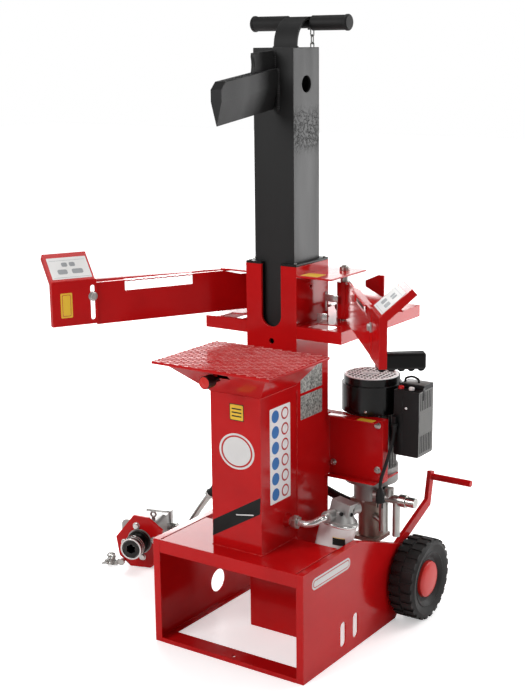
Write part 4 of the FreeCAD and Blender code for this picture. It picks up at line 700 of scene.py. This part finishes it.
dress(["arm_left", "arm_right", "end_plate_left", "end_plate_right"], red_paint, 0.0008)
pale_zinc = coated("pale_zinc", (0.5, 0.49, 0.47), (0.36, 0.35, 0.34), (0.75, 0.75, 0.73), 0.25, 0.42,
                   grain=(300, 0.15), metal=0.6)
pin_low, pin_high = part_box("pivot_pins")
pivot_x, pivot_y = pin_high.x - 0.0155, (pin_low.y + pin_high.y) / 2
arm_reach, end_top, sign_run, sign_rise, sign_long, sheet = 0.675, 1.146, 0.081, 0.071, 0.121, 0.0006
sign_wide = math.hypot(sign_run, sign_rise) * 0.76
flange_near, flange_far = -0.062, -0.534


def on_arm(piece, side):
    """Turns a piece modelled along an arm's own -Y axis to where that arm points at rest."""
    pick(piece)
    piece.rotation_euler = (0, 0, math.radians(39 if side > 0 else -29))
    piece.location = (side * pivot_x, pivot_y, 0)
    settle()
    return piece


for side, word in sides:
    along = Vector((0, -side, 0))
    slope = Vector((side * sign_run, 0, sign_rise)).normalized()
    normal = Vector((-side * sign_rise, 0, sign_run)).normalized()
    corner = Vector((-side * 0.0033, -arm_reach + 0.008, end_top - 0.003)) + normal * 0.005 + slope * 0.008
    if side > 0:
        corner.y += sign_long
    sign = label(f"sign_{word}", corner, along, slope, sign_long, sign_wide, 0.002, sheet)
    finish(on_arm(sign, side), white_print, f"end_{word}", "white_enamel")
    marks = []
    for number, (from_end, from_low, width, height) in enumerate((
            (0.006, 0.005, 0.109, 0.0008), (0.006, 0.070, 0.109, 0.0008), (0.022, 0.018, 0.030, 0.018),
            (0.066, 0.018, 0.034, 0.018), (0.040, 0.046, 0.018, 0.016), (0.064, 0.046, 0.018, 0.016))):
        place = corner + along * from_end + slope * from_low + normal * sheet
        marks.append(label(f"sign_mark_{word}_{number}", place, along, slope, width, height,
                           min(width, height) * 0.3))
    finish(on_arm(joined(f"sign_marks_{word}", marks), side), grey_print, f"end_{word}", "zinc")

for side, word in sides:
    arm_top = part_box(f"arm_{word}")[1].z
    narrow, wide = (0.024, 0.080) if side > 0 else (0.055, 0.140)
    edges = sorted((side * 0.003, side * wide))
    flange = block(f"arm_flange_{word}", (edges[0], flange_far, arm_top - 0.0034),
                   (edges[1], flange_near, arm_top - 0.0002))
    keep_inside(flange, [((side * narrow, flange_near, 0),
                          (side * (flange_near - flange_far), wide - narrow, 0))])
    finish(on_arm(softened(flange, 0.0008), side), red_paint, f"arm_{word}")

for side, word in sides:
    face = Vector((-side * 0.0116, -0.549, 1.095))
    washer = turned(f"slot_bolt_{word}", face, (-side, 0, 0),
                    head_rings(0.0139, 0.0002, 0.0131, 0.0006, -0.0029), 40)
    head = turned(f"slot_head_{word}", face, (-side, 0, 0), head_rings(0.0096, 0.0064, 0.0086, 0.0075), 6)
    finish(on_arm(joined(f"slot_bolt_{word}", [washer, head]), side), pale_zinc, f"arm_{word}", "zinc", 28)

# A yellow sticker with a red inner line on the left end plate, in three layers.
for layer, (name, inset, tint) in enumerate((
        ("end_sticker_rim", 0.0, yellow_print), ("end_sticker_line", 0.005, red_print),
        ("end_sticker", 0.0065, yellow_print))):
    field = label(name, (0.0083 + film * layer, -arm_reach + 0.026 + inset, 1.037 + inset), *on_side,
                  0.036 - 2 * inset, 0.074 - 2 * inset)
    finish(on_arm(field, -1), tint, "end_left", "red_paint")

# ------------------------------
# Wheels: block-treaded rubber tyres on pressed red rims with a plain hub cap.

tyre_rubber = coated("tyre_rubber", (0.007, 0.0062, 0.006), (0.011, 0.0095, 0.009), (0.02, 0.018, 0.017),
                     0.46, 0.66, grain=(160, 0.3), cloud=(12, 1), specular=0.4)
dress(["tyre_left", "tyre_right"], tyre_rubber, 0.0012)
dress(["rim_left", "rim_right"], red_paint, 0.0015)
for side, word in sides:
    hub = sum(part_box(f"tyre_{word}"), Vector()) / 2
    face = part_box(f"rim_{word}")[side > 0].x
    beads = turned(f"tyre_bead_{word}", (face - side * 0.002, hub.y, hub.z), (side, 0, 0),
                   [(0.0600, -0.018), (0.0605, -0.0112), (0.0720, -0.0102), (0.0790, -0.0024),
                    (0.0835, 0.0004), (0.0875, 0.0032), (0.0905, 0.0018), (0.0925, -0.003),
                    (0.0925, -0.012)], 96)
    finish(beads, tyre_rubber, f"wheel_{word}")
    cap = turned(f"hub_cap_{word}", (face, hub.y, hub.z), (side, 0, 0),
                 [(0.0592, -0.016), (0.0592, -0.0075), (0.0575, -0.0028), (0.0525, 0.0003), (0.0400, 0.0028),
                  (0.0220, 0.0043), (0.0001, 0.0048)], 96)
    finish(cap, knob_red, f"wheel_{word}", "red_paint")

# ------------------------------
# Motor: finned aluminium body, black fan cover with a bright rim, pierced top and
# blank white tag, and the switch box with its two buttons beside it.

cast_aluminium = coated("cast_aluminium", (0.44, 0.43, 0.42), (0.3, 0.29, 0.28), (0.66, 0.65, 0.63), 0.32,
                        0.5, grain=(220, 0.3), metal=0.75)
dress(["motor_body", "bell_housing"], cast_aluminium, 0.0008)
# The cover's pale edge colour is a painted highlight along its rounded shoulder.
cover_black = coated("cover_black", (0.005, 0.0045, 0.0045), (0.003, 0.003, 0.003), (0.1, 0.1, 0.1), 0.16,
                     0.26, grain=(600, 0.04), specular=0.4)
dress(["fan_cover"], cover_black, 0.0022, 3)
bright_steel = coated("bright_steel", (0.8, 0.79, 0.77), (0.62, 0.61, 0.59), (0.9, 0.9, 0.88), 0.14, 0.3,
                      grain=(300, 0.1), metal=0.75)
# Steel painted near white and not metallic: on the rim a painted reflection, on the pierced top painted light
# where the pan above shades it.
pale_steel_painted_reflection, mesh_steel_painted_light = (
    coated(name, (0.93, 0.93, 0.92), (0.84, 0.84, 0.83), (0.95, 0.95, 0.95), smooth, rough, grain=(300, 0.1))
    for name, smooth, rough in (("pale_steel_painted_reflection", 0.2, 0.3), ("mesh_steel_painted_light", 0.25, 0.4)))
cover_low, cover_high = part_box("fan_cover")
motor_x, motor_y, cover_top = (cover_low.x + cover_high.x) / 2, cover_low.y + 0.094, cover_high.z
on_cover = Vector((motor_x, motor_y, cover_top))
ring = turned("cover_ring", on_cover, (0, 0, 1),
              [(0.0770, 0.0), (0.0770, 0.0016), (0.0780, 0.0022), (0.0835, 0.0022), (0.0855, 0.0012),
               (0.0860, 0.0), (0.0860, -0.002), (0.0770, -0.002), (0.0770, 0.0)], 96)
finish(ring, pale_steel_painted_reflection, slot="bright_steel")

# Pierced disc: a near-white sheet, painted light where the pan shades it, whose rows of diamond holes show
# the black fan and painted shade behind.
pierced, mesh_sides = 0.0775, 30
# The dark disc is partly the black fan and partly painted shade of the hollow behind the holes.
mesh_disc = turned("cover_fan_and_shade_disc", on_cover, (0, 0, 1), disc_rings(pierced, 0.0002), 64)
finish(mesh_disc, tyre_rubber, slot="black_plastic")
corner = Vector((0.082, 0.082, 0))
grid = rib_lattice("cover_mesh", -corner, corner, 0.031, 0.0175, 0.0046, 0.0016)
grid.rotation_euler = (0, 0, math.radians(124))
grid.location = on_cover + Vector((0, 0, 0.0003))
settle()
planes = []
for step in range(mesh_sides):
    angle = math.radians(360 / mesh_sides * step)
    out = Vector((math.cos(angle), math.sin(angle), 0))
    planes.append((on_cover + out * pierced, out))
keep_inside(grid, planes)
finish(grid, mesh_steel_painted_light, slot="zinc")
tag_ways = ((0.94, 0.34, 0), (-0.34, 0.94, 0))
tag = label("cover_tag", on_cover + Vector((-0.026, -0.030, 0.0020)), *tag_ways, 0.055, 0.036, 0.003)
finish(tag, white_print, slot="white_enamel")
line = label("cover_tag_line", on_cover + Vector((-0.021, -0.020, 0.0023)), *tag_ways, 0.044, 0.010, 0.002)
finish(line, grey_print, slot="zinc")
screws = []
for quarter in range(4):
    angle = math.radians(18 + 90 * quarter)
    out = Vector((math.cos(angle), math.sin(angle), 0))
    place = Vector((motor_x, motor_y, cover_low.z + 0.014)) + out * 0.0945
    screws.append(turned("cover_screw", place, out, [(0.0045, 0), (0.0045, 0.001), (0.0035, 0.0022),
                                                     (0.0016, 0.0028), (0.0001, 0.0028)], 16))
finish(joined("cover_screws", screws), bright_steel)

# The switch box: a paler face and lid, a painted sheen on the black nylon, two rows of vents as black strips
# of painted shade, a seam, a latch and a screw.
switch_side, switch_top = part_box("control_box")[1].x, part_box("control_box")[1].z
# The vents are flat black strips: painted shade in the vent slots.
vents = [label("vent", (switch_side + 0.0002, 0.1605 + number * 0.011, level), *on_side, 0.0044, 0.056,
               0.0018, 0.0004) for level in (0.586, 0.722) for number in range(7)]
# This grey on the black box's right face, its panel and its lid is a painted sheen.
grey_plastic_painted_sheen = coated("grey_plastic_painted_sheen", (0.17, 0.167, 0.16), (0.13, 0.128, 0.122), (0.26, 0.26, 0.25), 0.28,
                       0.38, grain=(900, 0.12), specular=0.6)
panel = label("switch_panel", (switch_side, 0.1530, 0.652), *on_side, 0.090, 0.058, 0.003, 0.0009)
skin = label("switch_skin", (switch_side - 0.0002, 0.1520, 0.576), *on_side, 0.092, 0.206, 0.006, 0.0004)
lid = block("switch_lid", (0.296, 0.1935, switch_top - 0.0236), (0.374, 0.2440, switch_top - 0.0214))
finish(softened(lid, 0.001), grey_plastic_painted_sheen, slot="black_plastic")
seam = block("switch_seam", (0.3195, 0.1494, 0.59), (0.3203, 0.1503, 0.775))
finish(softened(seam, 0.0002, 1), black_print, slot="black_plastic")
latch = block("switch_latch", (switch_side - 0.001, 0.176, 0.752), (switch_side + 0.0008, 0.190, 0.790))
finish(softened(latch, 0.0006), black_plastic)
finish(joined("switch_vents_painted_shade", vents), black_print, slot="black_plastic")
finish(panel, grey_plastic_painted_sheen, slot="black_plastic")
finish(skin, grey_plastic_painted_sheen, slot="black_plastic")
screw = turned("switch_screw", (0.333, 0.150, 0.728), (0, -1, 0),
               [(0.0042, 0.0), (0.0042, 0.0012), (0.0034, 0.0022), (0.0001, 0.0024)], 20)
finish(screw, bright_steel)

for name, tints, kind in (
        ("stop", ("red_button", (0.55, 0.01, 0.01), (0.5, 0.008, 0.008), (0.65, 0.05, 0.05)), "red_button"),
        ("start", ("pale_button", (0.7, 0.69, 0.67), (0.62, 0.61, 0.6), (0.8, 0.8, 0.8)), "green_button")):
    tint = coated(*tints, 0.2, 0.3, grain=(900, 0.04))
    dress([f"button_{name}"], tint, 0.0012)
    key_low, key_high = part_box(f"button_{name}")
    key = (key_low + key_high) / 2
    dome = turned(f"button_dome_{name}", (key.x, key.y, key_high.z), (0, 0, 1),
                  [(0.0086, -0.001), (0.0086, 0.0008), (0.0076, 0.0022), (0.005, 0.003), (0.0001, 0.0034)],
                  32)
    finish(dome, tint, f"{name}_button", kind)
    bezel = turned(f"button_bezel_{name}", (key.x, key.y, 0.782), (0, 0, 1),
                   [(0.0095, 0.0), (0.0095, 0.0016), (0.0104, 0.0024), (0.0122, 0.0024), (0.013, 0.001),
                    (0.013, 0.0)], 32)
    finish(bezel, black_plastic)

# ------------------------------
# Plated fixings: pivot pins, chains, bolts with washers, and the moving steel inside.

zinc = coated("zinc", (0.6, 0.59, 0.56), (0.4, 0.39, 0.37), (0.78, 0.78, 0.75), 0.2, 0.4, grain=(300, 0.12),
              metal=1.0)
dark_zinc = coated("dark_zinc", (0.3, 0.3, 0.29), (0.2, 0.2, 0.19), (0.5, 0.5, 0.48), 0.3, 0.5,
                   grain=(300, 0.1), metal=1.0)
dress(["frame_fasteners", "pivot_pins", "torque_chain", "port_fittings", "valve_spool", "pto_pipe"], zinc,
      0.0006)
dress(["stop_chain"], dark_zinc, 0.0002, 1)
dress(["piston_rod", "motor_rotor", "cylinder_barrel"], bright_steel, 0.0006)


def hex_bolt(name, place, axis, across, height):
    """A hexagon head with a chamfered crown, on a round washer."""
    disc = head_rings(across * 0.98, 0.0012, across * 0.9, 0.0016)
    crown = head_rings(across * 0.577, height * 0.82, across * 0.5, height, 0.001)
    washer = turned(name + "_washer", place, axis, disc, 32)
    head = turned(name + "_head", place, axis, crown, 6)
    return finish(joined(name, [washer, softened(head, 0.0003, 1)]), zinc, angle=28)


for number, (x, z) in enumerate(((0.262, 0.675), (0.263, 0.531), (0.104, 0.531))):
    hex_bolt(f"bracket_bolt_{number}", (x, bracket_low.y + 0.0095, z), (0, -1, 0), 0.0115, 0.0085)
for side, word in sides:
    hex_bolt(f"pivot_bolt_{word}", (side * pivot_x, pivot_y, pin_high.z), (0, 0, 1), 0.014, 0.006)

# ------------------------------
# Control valve behind the post: cast block with two ports, a linkage of bright levers
# and a square guide plate on the pan.

dress(["valve_block"], cast_aluminium, 0.0012)
link_plate = softened(block("link_plate", (0.112, 0.030, 1.060), (0.160, 0.036, 1.082)), 0.0015)
link_arm = softened(block("link_arm", (0.112, 0.036, 1.040), (0.121, 0.106, 1.046)), 0.0012)
link_pin = turned("link_pin", (0.1165, 0.036, 1.030), (0, 0, 1),
                  [(0.0001, 0), (0.005, 0), (0.005, 0.06), (0.0001, 0.062)], 20)
finish(joined("valve_linkage", [link_plate, link_arm, link_pin]), bright_steel)
guide = softened(block("guide_square", (0.114, -0.0150, pan_top), (0.150, -0.0135, pan_top + 0.032)), 0.0008)
finish(guide, bright_steel)

# ------------------------------
# Pump under the motor: a dark cast body, and a ring of studs that hold the bell
# housing above it.

pump_iron = coated("pump_iron", (0.34, 0.26, 0.22), (0.2, 0.15, 0.125), (0.42, 0.36, 0.3), 0.35, 0.55,
                   grain=(220, 0.35), metal=0.7)
dress(["pump_body"], pump_iron, 0.0015)
bell_low, bell_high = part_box("bell_housing")
bell_foot = (bell_low + bell_high) / 2
bell_foot.z = bell_low.z
studs = []
for number in range(6):
    angle = math.radians(30 + 60 * number)
    place = bell_foot + Vector((math.cos(angle), math.sin(angle), 0)) * 0.049
    studs.append(turned("bell_stud", place, (0, 0, -1), head_rings(0.0055, 0.005, 0.0048, 0.006), 6))
finish(joined("bell_studs", studs), zinc, angle=28)

# ------------------------------
# Return filter on the base: white canister under a cast head, and the suction pipe
# that leaves the box through a red boss and a plated nut.

white_enamel = coated("white_enamel", (0.8, 0.76, 0.75), (0.7, 0.66, 0.65), (0.75, 0.72, 0.7), 0.14, 0.24,
                      grain=(500, 0.04))
dress(["filter_canister"], white_enamel, 0.002, 3)
dress(["filter_head"], cast_aluminium, 0.002, 3)
dress(["suction_pipe"], bright_steel, 0.001)
can_top, can_axis, can_radius = Vector((0.200, -0.024, 0.391)), Vector((0.1705, 0.1185, 0.9782)), 0.057
rim_in, rim_out = can_radius - 0.003, can_radius + 0.0022
rim_ring = turned("filter_rim", can_top, can_axis, [
    (rim_in, -0.005), (can_radius + 0.0012, -0.005), (rim_out, -0.003), (rim_out, 0.002),
    (can_radius + 0.0008, 0.004), (rim_in, 0.004), (rim_in, -0.005)], 72)
finish(rim_ring, bright_steel)
for word, low, high, tint in (
        ("dark", -0.058, -0.036, black_print), ("warm", -0.0355, -0.0335, yellow_print)):
    band = turned(f"filter_band_{word}", can_top, can_axis,
                  ring_rings(can_radius - 0.001, can_radius + 0.0003, low, high), 72)
    keep_inside(band, [((can_top.x - 0.002, can_top.y, 0.35), (-0.82, -0.2, 0)),
                       ((can_top.x + 0.030, can_top.y, 0.35), (0.94, 0.34, 0)),
                       ((can_top.x, can_top.y, 0.35), (0, 1, 0))])
    finish(band, tint, slot="white_enamel")
pipe_bore, port_y, port_z, boss_long = 0.0130, -0.147, 0.411, 0.0255
boss = turned("tank_boss", (side_x, port_y, port_z), (1, 0, 0), [
    (pipe_bore, 0.0), (0.0225, 0.0), (0.0205, 0.004), (0.0185, 0.008), (0.0165, 0.016), (pipe_bore, 0.016),
    (pipe_bore, 0.0)])
finish(boss, red_paint)
nut = turned("tank_nut", (side_x + boss_long, port_y, port_z), (1, 0, 0), [
    (pipe_bore, 0.0), (0.0205, 0.0), (0.0215, 0.0015), (0.0215, 0.0135), (0.0205, 0.0150),
    (pipe_bore, 0.0150), (pipe_bore, 0.0)], 6)
finish(nut, zinc, angle=28)
head_across, head_out = Vector((0.57, 0.82, 0)), Vector((0.82, -0.57, 0)).normalized()
for number, (across, up) in enumerate(((-0.010, 0.048), (0.012, 0.052), (0.024, 0.040))):
    place = Vector((0.226, -0.052, 0.386)) + head_across * across + can_axis * up * 0.9
    plug = turned(f"head_plug_{number}", place, head_out, [
        (0.0001, -0.004), (0.0062, -0.004), (0.0062, 0.0012), (0.0048, 0.0012), (0.0045, -0.001),
        (0.0001, -0.001)], 20)
    finish(plug, black_print, slot="zinc")

# ------------------------------
# Power take-off unit: red plate, splined sleeve with its sliding collar, cast gearbox
# and pump, the bent pipe, and the hose that runs back to the base.

dress(["pto_plate"], red_paint, 0.001)
dress(["pto_gearbox", "pto_pump"], cast_aluminium, 0.0015)
dark_steel = coated("dark_steel", (0.055, 0.053, 0.05), (0.03, 0.03, 0.029), (0.35, 0.34, 0.33), 0.25, 0.4,
                    grain=(300, 0.15), metal=1.0)
dress(["pto_sleeve", "pto_collar"], dark_steel, 0.0008)
unit_turn, bolt_circle = math.radians(17), 0.058
unit_origin = Vector((-0.690, 0.080, 0.100))
unit_right = Vector((math.cos(unit_turn), math.sin(unit_turn), 0))
unit_front = Vector((math.sin(unit_turn), -math.cos(unit_turn), 0))
for number in range(4):
    angle = math.radians(100 + 90 * number)
    spoke = unit_right * math.cos(angle) + Vector((0, 0, math.sin(angle)))
    head = turned(f"unit_bolt_{number}", unit_origin + spoke * bolt_circle, unit_front, [
        (0.0001, 0.0), (0.0130, 0.0), (0.0130, 0.0014), (0.0104, 0.0016), (0.0104, 0.0076), (0.0090, 0.0090),
        (0.0001, 0.0090)], 24)
    finish(head, bright_steel)
for number, (out, inner, outer, thick) in enumerate((
        (0.0745, 0.0335, 0.0390, 0.0042), (0.0600, 0.0372, 0.0392, 0.0026),
        (0.0480, 0.0372, 0.0392, 0.0026))):
    ring = turned(f"collar_ring_{number}", unit_origin + unit_front * out, unit_front, [
        (inner, 0.0), (outer - 0.001, 0.0), (outer, 0.0008), (outer, thick - 0.0008), (outer - 0.001, thick),
        (inner, thick), (inner, 0.0)], 64)
    finish(ring, bright_steel, "pto_collar")

# The spare end of the torque chain, in a heap on the floor: each link's place, tilt and spin.
links = []
for *place, tilt, spin in (
        (-0.800, 0.040, 0.0095, 70, 20), (-0.790, 0.054, 0.0085, 15, 60), (-0.786, 0.036, 0.0130, 60, 130),
        (-0.803, 0.051, 0.0190, 35, 80), (-0.793, 0.043, 0.0270, 80, 160), (-0.779, 0.047, 0.0095, 20, 10),
        (-0.797, 0.033, 0.0200, 50, 220), (-0.788, 0.051, 0.0260, 40, 300), (-0.796, 0.046, 0.0370, 75, 40),
        (-0.782, 0.040, 0.0220, 85, 100), (-0.790, 0.042, 0.0440, 30, 150)):
    bpy.ops.object.select_all(action="DESELECT")
    bpy.ops.mesh.primitive_torus_add(
        major_segments=20, minor_segments=8, major_radius=0.0098, minor_radius=0.0024, location=place,
        rotation=(math.radians(tilt), 0, math.radians(spin)))
    link = bpy.context.object
    link.scale = (1.25, 0.85, 1)
    settle()
    links.append(link)
finish(joined("chain_heap", links), zinc, angle=60)
